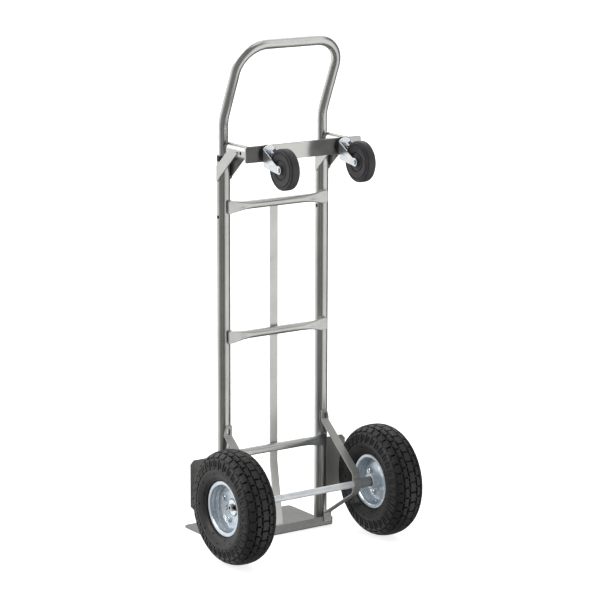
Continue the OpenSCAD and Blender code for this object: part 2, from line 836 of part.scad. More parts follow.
rail(-1);  // left_rail
rail(1);  // right_rail
crossbar(bar_top_z);  // top_crossbar
crossbar(bar_mid_z);  // middle_crossbar
crossbar(bar_low_z);  // bottom_crossbar
centre_strap();
toe_plate();
mirror([1, 0, 0]) wheel_guard();  // left_wheel_guard
wheel_guard();  // right_wheel_guard
mirror([1, 0, 0]) axle_bracket();  // left_axle_bracket
axle_bracket();  // right_axle_bracket
axle();
axle_spacers();
axle_washers();
cotter_pins();
mirror([1, 0, 0]) socket_tube();  // left_socket_tube
socket_tube();  // right_socket_tube
mirror([1, 0, 0]) gussets();  // left_gussets
gussets();  // right_gussets
caster_beam();
rail_collars();
socket_collars();
kingpins();
kingpin_nuts();
kingpin_washers();
raceways();
handle_tube();
snap_springs();
snap_button(-1);  // left_snap_button
snap_button(1);  // right_snap_button
tyre(-1);  // left_tyre
inner_tube(-1);  // left_inner_tube
rim_half(-1, true);  // left_outer_rim
rim_half(-1, false);  // left_inner_rim
hub(-1);  // left_hub
bearings(-1);  // left_bearings
rim_bolts(-1);  // left_rim_bolts
rim_nuts(-1);  // left_rim_nuts
tyre(1);  // right_tyre
inner_tube(1);  // right_inner_tube
rim_half(1, true);  // right_outer_rim
rim_half(1, false);  // right_inner_rim
hub(1);  // right_hub
bearings(1);  // right_bearings
rim_bolts(1);  // right_rim_bolts
rim_nuts(1);  // right_rim_nuts
fork(-1);  // left_fork
swivel_cup(-1);  // left_swivel_cup
caster_rivet(-1);  // left_caster_rivet
caster_bush(-1);  // left_caster_bush
caster_wheel(-1);  // left_caster_wheel
fork(1);  // right_fork
swivel_cup(1);  // right_swivel_cup
caster_rivet(1);  // right_caster_rivet
caster_bush(1);  // right_caster_bush
caster_wheel(1);  // right_caster_wheel
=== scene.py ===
# A convertible hand truck standing upright: two rails with crossbars, a bent handle, a toe
# plate, two treaded wheels and two swivel casters behind.
# X runs across (right is +X), the toe plate reaches forward (+Y), the handle and casters
# lie to the rear (-Y) and Z is up, with the ground at 0. Lengths are in millimetres unless
# a comment says metres; Blender itself works in metres.
import json
import math

import bmesh
import bpy
import numpy as np
from mathutils import Matrix, Vector

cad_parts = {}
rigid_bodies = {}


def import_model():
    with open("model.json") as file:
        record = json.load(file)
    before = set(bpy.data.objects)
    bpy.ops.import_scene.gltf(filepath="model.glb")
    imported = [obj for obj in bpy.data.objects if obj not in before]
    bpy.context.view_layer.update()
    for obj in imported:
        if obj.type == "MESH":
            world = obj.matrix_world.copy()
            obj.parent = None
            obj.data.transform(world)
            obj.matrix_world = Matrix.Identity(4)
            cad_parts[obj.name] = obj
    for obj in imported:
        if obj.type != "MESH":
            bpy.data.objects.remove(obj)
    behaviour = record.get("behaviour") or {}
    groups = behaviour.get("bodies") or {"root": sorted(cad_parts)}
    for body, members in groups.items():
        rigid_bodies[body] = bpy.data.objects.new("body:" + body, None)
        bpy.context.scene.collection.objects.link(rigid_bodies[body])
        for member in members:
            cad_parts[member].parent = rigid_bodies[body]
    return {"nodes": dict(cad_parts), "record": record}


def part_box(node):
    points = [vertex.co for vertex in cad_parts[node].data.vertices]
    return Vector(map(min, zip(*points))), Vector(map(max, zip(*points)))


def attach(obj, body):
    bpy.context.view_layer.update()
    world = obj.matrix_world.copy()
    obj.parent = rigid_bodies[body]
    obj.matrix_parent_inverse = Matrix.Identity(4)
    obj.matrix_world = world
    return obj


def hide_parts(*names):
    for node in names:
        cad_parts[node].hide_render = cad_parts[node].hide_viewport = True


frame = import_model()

MM = 0.001
SIDES = ((1, "right"), (-1, "left"))
CROSSBARS = ("top_crossbar", "middle_crossbar", "bottom_crossbar")

scene = bpy.context.scene
nodes = frame["nodes"]
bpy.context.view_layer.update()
body_of = {
    node: body
    for body, members in frame["record"]["behaviour"]["bodies"].items()
    for node in members
}


def box(node):
    """Low and high corner of a CAD piece."""
    low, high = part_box(node)
    return np.array(low) / MM, np.array(high) / MM


def middle_and_half(node):
    """Centre and half size of a CAD piece."""
    low, high = box(node)
    return (low + high) / 2, (high - low) / 2


# ---------------------------------------------------------------- driving sizes from the CAD
middle, half_size = middle_and_half("right_rail")
RAIL_X, RAIL_R = middle[0], half_size[0]
WHEEL, half_size = middle_and_half("right_tyre")
TYRE_HALF_WIDTH, TYRE_R = half_size[0], half_size[2]
ROLLER, half_size = middle_and_half("right_caster_wheel")
ROLLER_HALF_WIDTH, ROLLER_R = half_size[0], half_size[2]
SWIVEL_Z = middle_and_half("caster_beam")[0][2]
BEAM_FRONT = box("caster_beam")[1][1]


# ---------------------------------------------------------------- shader building
class Graph:
    """Short forms for building a node tree."""

    def __init__(self, tree):
        self.tree = tree
        tree.nodes.clear()

    def feed(self, socket, value):
        """Links an output to the socket, or sets the socket's own value."""
        if isinstance(value, bpy.types.NodeSocket):
            self.tree.links.new(value, socket)
            return
        if socket.type == "RGBA" and len(value) == 3:
            value = (*value, 1)
        socket.default_value = value

    def add(self, kind, *values, inputs=None, **settings):
        """A node; values fill its inputs in order, inputs by name or number."""
        node = self.tree.nodes.new("ShaderNode" + kind)
        for key, value in settings.items():
            setattr(node, key, value)
        for key, value in [*enumerate(values), *(inputs or {}).items()]:
            self.feed(node.inputs[key], value)
        return node

    def calc(self, operation, *values):
        return self.add("Math", *values, operation=operation).outputs[0]


class Shader(Graph):
    """A Principled material textured in object coordinates; its lengths are in metres."""

    def __init__(self, name):
        self.material = bpy.data.materials.new(name)
        self.material.use_nodes = True
        super().__init__(self.material.node_tree)
        output = self.add("OutputMaterial")
        self.surface = self.add("BsdfPrincipled")
        self.feed(output.inputs[0], self.surface.outputs[0])
        self.coords = self.add("TexCoord").outputs["Object"]
        self.normal = None

    def set(self, name, value):
        self.feed(self.surface.inputs[name], value)

    def noise(self, scale, detail=3.0, rough=0.55, distortion=0.0):
        inputs = {"Scale": scale, "Detail": detail, "Roughness": rough,
                  "Distortion": distortion, "Vector": self.coords}
        return self.add("TexNoise", inputs=inputs).outputs["Fac"]

    def rings(self, distance, scale, detail):
        """Noise that varies only with the distance from an axis."""
        inputs = {"Scale": scale, "Detail": detail, "W": distance}
        return self.add("TexNoise", inputs=inputs, noise_dimensions="1D").outputs["Fac"]

    def ramp(self, field, stops):
        """Grey ramp through stops of (position, value)."""
        node = self.add("ValToRGB", field)
        elements = node.color_ramp.elements
        while len(elements) < len(stops):
            elements.new(0.5)
        for i, (position, value) in enumerate(stops):
            elements[i].position = position
            elements[i].color = (value, value, value, 1)
        return node.outputs[0]

    def fade(self, field, start, end, peak=1.0):
        """Rises from 0 where the field is at start to peak where it is at end."""
        return self.ramp(field, [(start, 0.0), (end, peak)])

    def mix(self, share, first, second):
        inputs = {0: share, 6: first, 7: second}
        return self.add("Mix", inputs=inputs, data_type="RGBA").outputs[2]

    def spread(self, field, low, span):
        """Maps a 0 to 1 field onto low to low + span."""
        return self.calc("MULTIPLY_ADD", field, span, low)

    def bump(self, height, strength, distance):
        """Adds a bump layer on top of those already there."""
        inputs = {"Strength": strength, "Distance": distance, "Height": height}
        if self.normal is not None:
            inputs["Normal"] = self.normal
        self.normal = self.add("Bump", inputs=inputs).outputs[0]
        self.set("Normal", self.normal)

    def edge_mask(self, radius, gain):
        """0 on flat skin, rising along convex and concave edges."""
        normal = self.add("NewGeometry").outputs["Normal"]
        rounded_normal = self.add("Bevel", radius, samples=4).outputs[0]
        agreement = self.add("VectorMath", normal, rounded_normal, operation="DOT_PRODUCT")
        turn = self.calc("SUBTRACT", 1.0, agreement.outputs["Value"])
        return self.add("Clamp", self.calc("MULTIPLY", turn, gain)).outputs[0]

    def axle_distance(self, centre):
        """Distance from the line along X through a centre given in millimetres."""
        split = self.add("SeparateXYZ", self.coords)
        offsets = [self.calc("SUBTRACT", split.outputs[k], centre[k] * MM) for k in (1, 2)]
        squares = [self.calc("MULTIPLY", offset, offset) for offset in offsets]
        return self.calc("SQRT", self.calc("ADD", *squares))


def scaled(colour, *factors):
    """A colour times one factor, or times one factor per channel."""
    return tuple(min(1, value * factor) for value, factor in zip(colour, factors * 3))


# ---------------------------------------------------------------- materials
def silver_paint(name, light=(0.50, 0.50, 0.485), dark=(0.40, 0.40, 0.39), rough=0.30,
                 metal=0.90, rough_span=0.14, peel_bump=0.06, flake_bump=0.05):
    shader = Shader(name)
    clouds = shader.noise(scale=9.0, detail=4.0)
    flakes = shader.noise(scale=900.0, detail=2.0, rough=0.7)
    colour = shader.mix(shader.fade(clouds, start=0.35, end=0.65), light, dark)
    sparkle = shader.fade(flakes, start=0.30, end=0.72, peak=0.30)
    colour = shader.mix(sparkle, colour, scaled(light, 1.5))
    chips = shader.fade(shader.noise(scale=60.0, detail=4.0), start=0.42, end=0.62)
    wear = shader.calc("MULTIPLY", shader.edge_mask(radius=0.0012, gain=5.0), chips)
    colour = shader.mix(shader.calc("MULTIPLY", wear, 0.55), colour, (0.66, 0.66, 0.65))
    grime = shader.noise(scale=28.0, detail=5.0, rough=0.65)
    grime = shader.fade(grime, start=0.55, end=0.80, peak=0.35)
    shader.set("Base Color", shader.mix(grime, colour, scaled(dark, 0.72)))
    shader.set("Metallic", metal)
    cloudy = shader.noise(scale=35.0, detail=4.0)
    shader.set("Roughness", shader.spread(cloudy, low=rough - rough_span / 2, span=rough_span))
    shader.bump(shader.noise(scale=260.0, detail=2.0), strength=peel_bump, distance=0.0006)
    shader.bump(flakes, strength=flake_bump, distance=0.0002)
    return shader.material


def zinc(name, centre=None, base=(0.74, 0.78, 0.81), rough=0.22, dirt=0.35, metal=1.0):
    """Plated steel; a centre gives it turning rings about that axle."""
    shader = Shader(name)
    patches = shader.noise(scale=45.0, detail=5.0, rough=0.6, distortion=0.6)
    patch_mask = shader.fade(patches, start=0.36, end=0.66)
    colour = shader.mix(patch_mask, base, scaled(base, 0.80, 0.86, 0.92))
    warmth = shader.fade(shader.noise(scale=22.0), start=0.52, end=0.75, peak=dirt)
    colour = shader.mix(warmth, colour, scaled(base, 0.86, 0.80, 0.70))
    spangle = shader.noise(scale=420.0, detail=2.0)
    wear = shader.calc("MULTIPLY", shader.edge_mask(radius=0.0008, gain=4.0), 0.4)
    shader.set("Base Color", shader.mix(wear, colour, (0.93, 0.94, 0.95)))
    shader.set("Metallic", metal)
    shader.set("Roughness", shader.spread(patches, low=rough - 0.05, span=0.10))
    shader.bump(spangle, strength=0.08, distance=0.0003)
    if centre is not None:
        distance = shader.axle_distance(centre)
        # (axle distance in tenths of a metre, metallic): the bent channel shines most
        bands = [(0.462, 0.30), (0.492, 0.82), (0.545, 0.82), (0.565, 0.50)]
        tenths = shader.calc("MULTIPLY", distance, 10.0)
        shader.set("Metallic", shader.ramp(tenths, bands))
        shader.bump(shader.rings(distance, scale=1500.0, detail=2.0),
                    strength=0.16, distance=0.0004)
    return shader.material


def rubber(name, base=(0.0135, 0.013, 0.014), tint=(0.022, 0.019, 0.0165), rough=0.56,
           grain=700.0, centre=None, ring_bump=0.0, specular=0.42):
    """Rubber; a centre gives it moulding rings about that axle."""
    shader = Shader(name)
    clouds = shader.noise(scale=30.0, detail=5.0, rough=0.65)
    colour = shader.mix(shader.fade(clouds, start=0.38, end=0.70), base, tint)
    dust = shader.noise(scale=160.0, detail=5.0, rough=0.7)
    dust = shader.fade(dust, start=0.55, end=0.85, peak=0.35)
    colour = shader.mix(dust, colour, scaled(base, 2.4))
    wear = shader.calc("MULTIPLY", shader.edge_mask(radius=0.0009, gain=3.0), 0.30)
    shader.set("Base Color", shader.mix(wear, colour, scaled(base, 3.4)))
    shader.set("Specular IOR Level", specular)
    cloudy = shader.noise(scale=70.0, detail=4.0)
    shader.set("Roughness", shader.spread(cloudy, low=rough - 0.11, span=0.22))
    shader.bump(shader.noise(scale=grain, detail=4.0, rough=0.65),
                strength=0.22, distance=0.0006)
    if centre is not None:
        rings = shader.rings(shader.axle_distance(centre), scale=520.0, detail=3.0)
        shader.bump(rings, strength=ring_bump, distance=0.0006)
    return shader.material


def gloss_black(name, rough):
    base = (0.012, 0.012, 0.013)
    shader = Shader(name)
    specks = shader.fade(shader.noise(scale=120.0, detail=4.0), start=0.4, end=0.8)
    colour = shader.mix(specks, base, scaled(base, 2.6))
    wear = shader.calc("MULTIPLY", shader.edge_mask(radius=0.0008, gain=4.0), 0.35)
    shader.set("Base Color", shader.mix(wear, colour, (0.10, 0.10, 0.10)))
    shader.set("Roughness", shader.spread(shader.noise(scale=90.0), low=rough - 0.08, span=0.2))
    shader.bump(shader.noise(scale=900.0, detail=2.0), strength=0.12, distance=0.0004)
    return shader.material


RIM_LOOK = dict(centre=WHEEL, base=(0.68, 0.73, 0.77), rough=0.28, metal=0.5)
MATERIALS = {
    "frame_paint": silver_paint("silver_paint"),
    "handle_paint": silver_paint(
        "silver_paint_handle", rough=0.28, light=(0.54, 0.54, 0.525), dark=(0.46, 0.46, 0.45)),
    # a darker copy of the silver frame paint for the toe plate: painted shade
    "plate_paint": silver_paint(
        "silver_paint_plate_shaded", light=(0.205, 0.205, 0.198), dark=(0.165, 0.165, 0.16),
        rough=0.36, metal=0.80),
    # a darker, duller copy of the silver frame paint for the wheel guards: painted shade
    "shaded_guard_paint": silver_paint(
        "silver_paint_guard_shaded", light=(0.30, 0.30, 0.29), dark=(0.25, 0.25, 0.245),
        rough=0.52, metal=0.30),
    # a darker copy of the silver frame paint for the axle brackets and spacers: painted shade
    "shaded_arm_paint": silver_paint(
        "silver_paint_arm_shaded", light=(0.42, 0.42, 0.405), dark=(0.36, 0.36, 0.35),
        rough=0.40, metal=0.45),
    "beam_paint": silver_paint(
        "silver_paint_beam", light=(0.46, 0.46, 0.445), dark=(0.42, 0.42, 0.41), rough=0.14,
        metal=0.66, peel_bump=0.012, rough_span=0.03, flake_bump=0.01),
    "zinc_hardware": zinc("zinc_hardware_bright", rough=0.20),
    "zinc_rim_left": zinc("zinc_rim_left", **RIM_LOOK),
    "zinc_rim_right": zinc("zinc_rim_right", **RIM_LOOK),
    "zinc_fork": zinc("zinc_fork_bright", base=(0.70, 0.70, 0.70), rough=0.22, dirt=0.25),
    "zinc_axle": zinc(
        "zinc_axle_bright", base=(0.95, 0.95, 0.945), rough=0.46, dirt=0.15, metal=0.45),
    "spring_steel": zinc("spring_steel_plain", base=(0.50, 0.50, 0.50), rough=0.28),
    # near-black steel: the cotter pins' own colour, and painted shade on the snap buttons sitting
    # in the rail holes
    "dark_steel": zinc(
        "dark_steel_wire", base=(0.018, 0.016, 0.016), rough=0.42, dirt=0.3, metal=0.5),
    "black_steel": gloss_black("black_steel_gloss", rough=0.28),
    "black_plastic": gloss_black("black_plastic_satin", rough=0.42),
    "tyre_rubber": rubber(
        "tyre_rubber_black", base=(0.0105, 0.0100, 0.0108), tint=(0.0168, 0.0152, 0.0146),
        centre=WHEEL, ring_bump=0.10, rough=0.52, specular=0.48),
    # near-black and dull, darker than the tyre rubber: painted shade for the vent dots
    "vent_black": rubber(
        "tyre_vent_black", base=(0.003, 0.003, 0.003), tint=(0.004, 0.004, 0.004),
        rough=0.8, specular=0.1),
    "inner_tube_rubber": rubber("butyl_rubber", rough=0.45),
    "caster_rubber": rubber(
        "caster_rubber_grey", base=(0.046, 0.043, 0.048), tint=(0.058, 0.055, 0.059),
        rough=0.50, grain=900.0, centre=ROLLER, ring_bump=0.25),
}


# ---------------------------------------------------------------- parts
# A part is (points, faces) or (points, faces, material index or indices), in millimetres.
def join(*parts):
    points, faces, indices, base = [], [], [], 0
    for part in parts:
        index = part[2] if len(part) > 2 else 0
        points.append(np.asarray(part[0], float).reshape(-1, 3))
        faces += [[i + base for i in face] for face in part[1]]
        indices += index if isinstance(index, list) else [index] * len(part[1])
        base += len(points[-1])
    return np.vstack(points), faces, indices


def reversed_faces(faces):
    return [face[::-1] for face in faces]


def mirror_x(part):
    points = np.asarray(part[0], float) * np.array([-1, 1, 1])
    return (points, reversed_faces(part[1])) + tuple(part[2:])


def mirror_z(part):
    return np.asarray(part[0], float) * np.array([1, 1, -1]), reversed_faces(part[1])


def both_sides(part):
    return join(part, mirror_x(part))


def moved(part, x, y, z=0.0):
    return (np.asarray(part[0], float) + np.array([x, y, z]),) + tuple(part[1:])


def on_axle(part, centre, side=1):
    """Lays local z along the axle, pointing outboard, about a right-hand centre."""
    x, y, z = np.asarray(part[0], float).T
    points = np.stack([z + centre[0], y + centre[1], -x + centre[2]], -1)
    part = (points,) + tuple(part[1:])
    return part if side > 0 else mirror_x(part)


def on_swivel(part, start_y, side=1):
    """Lays local z rearward (-Y) from start_y on the caster's swivel axis."""
    x, y, z = np.asarray(part[0], float).T
    points = np.stack([x + ROLLER[0], start_y - z, y + SWIVEL_Z], -1)
    part = (points,) + tuple(part[1:])
    return part if side > 0 else mirror_x(part)


def ring_faces(rings, sides, closed=False):
    """Quads between successive rings of points; closed joins the last to the first."""
    faces = []
    for i in range(rings if closed else rings - 1):
        here, after = i * sides, (i + 1) % rings * sides
        for j in range(sides):
            k = (j + 1) % sides
            faces.append([here + j, here + k, after + k, after + j])
    return faces


def end_caps(rings, sides):
    return [list(range(sides))[::-1], list(range((rings - 1) * sides, rings * sides))]


def lathe(profile, sides):
    """A closed profile of (radius, height) turned about the z axis."""
    radii, heights = np.asarray(profile, float).T
    angles = np.linspace(0, 2 * math.pi, sides, endpoint=False)
    points = np.stack([np.outer(radii, np.cos(angles)), np.outer(radii, np.sin(angles)),
                       np.repeat(heights[:, None], sides, 1)], -1)
    return points.reshape(-1, 3), ring_faces(len(radii), sides, closed=True)


def rounded(corners, segments):
    """A closed outline from corners of (a, b, corner radius)."""
    places = [np.array(corner[:2], float) for corner in corners]
    outline = []
    for i, place in enumerate(places):
        radius = corners[i][2]
        before, after = places[i - 1] - place, places[(i + 1) % len(places)] - place
        before_length, after_length = np.linalg.norm(before), np.linalg.norm(after)
        before, after = before / before_length, after / after_length
        half_angle = math.acos(np.clip(before @ after, -1, 1)) / 2
        if radius <= 0 or half_angle > math.radians(87):
            outline.append(place)
            continue
        cut_back = min(radius / math.tan(half_angle), before_length * 0.49, after_length * 0.49)
        radius = cut_back * math.tan(half_angle)
        bisector = (before + after) / np.linalg.norm(before + after)
        centre = place + bisector * (radius / math.sin(half_angle))
        start = math.atan2(*(place + before * cut_back - centre)[::-1])
        end = math.atan2(*(place + after * cut_back - centre)[::-1])
        turn = (end - start + math.pi) % (2 * math.pi) - math.pi
        for k in range(segments + 1):
            angle = start + turn * k / segments
            outline.append(centre + radius * np.array([math.cos(angle), math.sin(angle)]))
    return [tuple(point) for point in outline]


def turned(corners, sides, segments=3):
    """A lathe part from corners of (radius, height, corner radius)."""
    return lathe(rounded(corners, segments), sides)


def circle(radius, sides):
    angles = [math.radians(360.0 * i / sides) for i in range(sides)]
    return [(radius * math.cos(angle), radius * math.sin(angle)) for angle in angles]


def sweep(path, radius, sides, scale=None, caps=True):
    """A round bar along a path, without twist; scale gives a factor per path point."""
    path = np.asarray(path, float)
    tangents = np.gradient(path, axis=0)
    tangents /= np.linalg.norm(tangents, axis=1)[:, None]
    section = np.array(circle(radius, sides))
    scale = np.ones(len(path)) if scale is None else scale
    across = np.array([1.0, 0.0, 0.0] if abs(tangents[0][0]) < 0.9 else [0.0, 1.0, 0.0])
    points = []
    for place, tangent, factor in zip(path, tangents, scale):
        across = across - (across @ tangent) * tangent
        across /= np.linalg.norm(across)
        upward = np.cross(tangent, across)
        points.append(place + factor * (section[:, :1] * across + section[:, 1:] * upward))
    faces = ring_faces(len(path), sides)
    if caps:
        faces += end_caps(len(path), sides)
    return np.vstack(points), faces


def pipe(path, outer, inner, sides):
    """A hollow tube with open ends along a path."""
    outside = sweep(path, outer, sides, caps=False)
    inside = sweep(path, inner, sides, caps=False)
    points, faces, _ = join(outside, (inside[0], reversed_faces(inside[1])))
    inside_base = len(outside[0])
    for row in (0, (len(path) - 1) * sides):
        for j in range(sides):
            k = (j + 1) % sides
            quad = [row + j, row + k, inside_base + row + k, inside_base + row + j]
            faces.append(quad if row else quad[::-1])
    return points, faces


def hexagon(corner_radius, height, turn, bore=0.0, dish=0.0):
    """Chamfered nut, or bolt head if there is no bore; dish sinks the head's top face."""
    angles = np.radians(np.arange(72) * 360.0 / 72)
    flat = corner_radius * math.cos(math.pi / 6)
    outline = flat / np.cos(((angles + math.pi / 6) % (math.pi / 3)) - math.pi / 6)
    rim = flat * 0.97
    chamfer = (outline - rim) * math.tan(math.radians(30))
    # rings of (radii, heights) from the bottom centre or bore up
    rings = [(bore, 0.0), (rim, 0.0), (outline, chamfer if bore else 1e-4),
             (outline, height - chamfer), (rim, height)]
    if bore:
        rings.append((bore, height))
    else:
        rings += [(rim * 0.82, height - dish), (0.0, height - dish)]
    angles = angles + math.radians(turn)
    points = [np.stack(np.broadcast_arrays(radius * np.cos(angles), radius * np.sin(angles), z),
                       -1) for radius, z in rings]
    return np.vstack(points), ring_faces(len(rings), 72, closed=bool(bore))


def grid_cells(rows, columns):
    return [[i * columns + j, (i + 1) * columns + j, (i + 1) * columns + j + 1, i * columns + j + 1]
            for i in range(rows - 1) for j in range(columns - 1)]


def grid_border(rows, columns):
    """Successive pairs of point numbers round the border of a grid."""
    ring = list(range(columns))
    ring += [i * columns + columns - 1 for i in range(1, rows)]
    ring += [(rows - 1) * columns + j for j in range(columns - 2, -1, -1)]
    ring += [i * columns for i in range(rows - 2, 0, -1)]
    return list(zip(ring, ring[1:] + ring[:1]))


def sheet(grid, thickness):
    """A closed plate of even thickness about a grid of middle-surface points."""
    surface = np.asarray(grid, float)
    rows, columns, _ = surface.shape
    normals = np.cross(np.gradient(surface, axis=0), np.gradient(surface, axis=1))
    lengths = np.linalg.norm(normals, axis=2)
    flat = lengths < 1e-6
    normals /= np.where(flat, 1, lengths)[..., None]
    # a point without a normal of its own takes the mean of its neighbours'
    for i, j in np.argwhere(flat):
        near = [(a, b) for a in (i - 1, i, i + 1) for b in (j - 1, j, j + 1)
                if 0 <= a < rows and 0 <= b < columns and not flat[a, b]]
        if near:
            normals[i, j] = np.mean([normals[place] for place in near], axis=0)
    offset = normals * thickness / 2
    base = rows * columns
    faces = []
    for cell in grid_cells(rows, columns):
        faces += [cell, [base + i for i in cell[::-1]]]
    faces += [[a, b, base + b, base + a] for a, b in grid_border(rows, columns)]
    points = np.vstack([(surface + offset).reshape(-1, 3), (surface - offset).reshape(-1, 3)])
    return points, faces


def ease(start, end, value):
    share = min(1.0, max(0.0, (value - start) / (end - start)))
    return share * share * (3 - 2 * share)


# ---------------------------------------------------------------- objects
def to_bmesh(part):
    points, faces, indices = join(part)
    bm = bmesh.new()
    verts = [bm.verts.new(Vector(point) * MM) for point in points]
    for face, index in zip(faces, indices):
        bm.faces.new([verts[i] for i in face]).material_index = index
    return bm


def soften(bm, width, segments, angle):
    """Bevels the edges that turn by more than angle degrees."""
    edges = [edge for edge in bm.edges
             if len(edge.link_faces) == 2 and edge.calc_face_angle(0) > math.radians(angle)]
    bmesh.ops.bevel(bm, geom=edges, offset=width * MM, segments=segments, profile=0.5,
                    affect="EDGES", clamp_overlap=True)


def finish_object(bm, name, materials, sharp, flat_faces, body):
    """Turns a bmesh into a smooth-shaded object that rides on a body."""
    bmesh.ops.recalc_face_normals(bm, faces=bm.faces)
    mesh = bpy.data.meshes.new(name)
    bm.to_mesh(mesh)
    bm.free()
    mesh.validate()
    for material in materials:
        mesh.materials.append(material)
    mesh.shade_smooth()
    mesh.set_sharp_from_angle(angle=math.radians(sharp))
    item = bpy.data.objects.new(name, mesh)
    scene.collection.objects.link(item)
    if flat_faces:
        # large faces keep their own normal, so that only the broken edges shade round
        modifier = item.modifiers.new("face_normals", "WEIGHTED_NORMAL")
        modifier.mode = "FACE_AREA"
        modifier.weight = 70
        modifier.keep_sharp = True
    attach(item, body)
    return item


def piece(name, part, materials, body, sharp, bevel=None):
    """An object from a part; bevel is (width, segments, least edge angle)."""
    bm = to_bmesh(part)
    bmesh.ops.remove_doubles(bm, verts=bm.verts, dist=2e-7)
    bmesh.ops.dissolve_degenerate(bm, dist=1e-8, edges=bm.edges)
    loose = [vert for vert in bm.verts if not vert.link_faces]
    bmesh.ops.delete(bm, geom=loose, context="VERTS")
    if bevel:
        soften(bm, *bevel)
    materials = [MATERIALS[key] for key in materials.split()]
    return finish_object(bm, name, materials, sharp, bool(bevel), body)


def stand_in(node, suffix, part, materials, body, sharp, bevel=None):
    """A piece that replaces one CAD node and is named after it."""
    item = piece(f"{node}_{suffix}", part, materials, body, sharp, bevel)
    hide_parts(node)
    return item


def refine(node, material, width, segments):
    """The CAD solid's own shape with softened edges, standing for the node."""
    bm = bmesh.new()
    bm.from_mesh(nodes[node].data)
    bmesh.ops.remove_doubles(bm, verts=bm.verts, dist=1e-6)
    bmesh.ops.dissolve_limit(bm, angle_limit=math.radians(0.6), verts=bm.verts, edges=bm.edges)
    soften(bm, width, segments, angle=38.0)
    item = finish_object(bm, node + "_skin", [MATERIALS[material]], 32.0, True,
                         body_of[node])
    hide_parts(node)


def dress(node, material):
    """Gives a CAD piece a material and leaves its shape."""
    materials = nodes[node].data.materials
    materials.clear()
    materials.append(MATERIALS[material])


# ---------------------------------------------------------------- tyres
# Places on the tyre are (along, across, height): arc length round the crown, arc length
# across the skin from the crown line, and height above the skin.
PITCHES = 34
PITCH = 2 * math.pi * TYRE_R / PITCHES
WIDEST_R = TYRE_R - 36.0
BEAD_OFFSET = 25.5


def crown_point(degrees, radius, half_width):
    """Point on the squarish crown arc that ends at the tyre's widest radius."""
    def square_off(value):
        return math.copysign(abs(value) ** 0.82, value)

    angle = math.radians(degrees)
    return (WIDEST_R + (radius - WIDEST_R) * square_off(math.cos(angle)),
            half_width * square_off(math.sin(angle)))


def wall_point(degrees, bead_radius, bead_offset, half_width):
    """Point on the sidewall arc from the widest radius down to the bead."""
    angle = math.radians(degrees)
    return (WIDEST_R - (WIDEST_R - bead_radius) * math.sin(angle),
            bead_offset + (half_width - bead_offset) * math.cos(angle))


# (radius, side offset) of the outer skin from the crown line to the bead
SKIN = np.array(
    [crown_point(90.0 * i / 120, TYRE_R, TYRE_HALF_WIDTH) for i in range(121)]
    + [wall_point(90.0 * i / 40, 63.6, BEAD_OFFSET, TYRE_HALF_WIDTH) for i in range(1, 41)])
SKIN_ACROSS = np.r_[0, np.cumsum(np.linalg.norm(np.diff(SKIN, axis=0), axis=1))]
SKIN_END = SKIN_ACROSS[-1]

# ring grooves in the sidewall: (across, depth, width)
WALL_GROOVES = ((72.5, 0.7, 0.8), (85.0, 0.35, 0.6), (87.2, 0.35, 0.6), (93.5, 0.8, 1.0))


def skin_at(across):
    return np.array([np.interp(across, SKIN_ACROSS, SKIN[:, k]) for k in (0, 1)])


def skin(across, height):
    """Radius and side offset at a place on the skin."""
    distance, step = abs(across), 0.8
    ahead = skin_at(min(distance + step, SKIN_END))
    if distance > step:
        behind = skin_at(distance - step)
    else:
        behind = np.array([SKIN[0, 0], -(step - distance)])
    tangent = ahead - behind
    tangent /= np.linalg.norm(tangent)
    radius, offset = skin_at(distance) + height * np.array([tangent[1], -tangent[0]])
    return radius, math.copysign(offset, across) if across else offset


def tread_depth(across):
    """How far the carcass lies below the skin."""
    across = abs(across)
    depth = 5.2 + (2.2 - 5.2) * ease(32.0, 41.0, across)
    depth += (0.0 - 2.2) * ease(64.0, 69.0, across)
    for centre, groove, width in WALL_GROOVES:
        depth -= groove * math.exp(-(((across - centre) / width) ** 2))
    return depth


def skin_point(along, across, height):
    radius, offset = skin(across, height)
    angle = along / TYRE_R
    return (radius * math.cos(angle), radius * math.sin(angle), offset)


def lug(centre, half_length, near, far, cells, near_flare=0.0, far_flare=0.0, far_bulge=0.0,
        top=0.0, skew=0.0, pocket=0.0, inset=0.7, side=1):
    """One moulded block on the skin, between near and far across the tread.

    Flares move its edges at the two ends, far_bulge moves the far edge at mid-length,
    cells counts the grid (along, across) and inset narrows the top face.
    """
    cells_along, cells_across = cells
    rows, columns = cells_along + 1, cells_across + 1
    start, end = centre - half_length, centre + half_length

    def near_edge(share):
        return near + near_flare * abs(2 * share - 1)

    def far_edge(share):
        return far + far_flare * abs(2 * share - 1) + far_bulge * math.sin(math.pi * share)

    def layer(margin, height, sink=0.0):
        points = []
        for i in range(rows):
            share = i / cells_along
            along = start + margin + (end - start - 2 * margin) * share
            low, high = near_edge(share) + margin, far_edge(share) - margin
            for j in range(columns):
                across = low + (high - low) * j / cells_across
                sunk = 1 < i < cells_along - 1 and 2 < j < cells_across - 1
                points.append(skin_point(along + side * skew * (across - (low + high) / 2),
                                         side * across, height - sink if sunk else height))
        return points

    floor_depth = tread_depth((near_edge(0.5) + far_edge(0.5)) / 2)
    points = layer(-0.5, -floor_depth - 0.8) + layer(0.0, top - 0.8) + layer(inset, top, pocket)
    shoulder = rows * columns
    cap = 2 * shoulder
    faces = []
    for a, b, c, d in grid_cells(rows, columns):
        faces += [[a, d, c, b], [cap + a, cap + b, cap + c, cap + d]]
    for a, b in grid_border(rows, columns):
        faces += [[a, b, shoulder + b, shoulder + a],
                  [shoulder + a, shoulder + b, cap + b, cap + a]]
    # the shoulder layer is used only round its border
    used = sorted({i for face in faces for i in face})
    renumber = {old: new for new, old in enumerate(used)}
    return np.array(points)[used], [[renumber[i] for i in face] for face in faces]


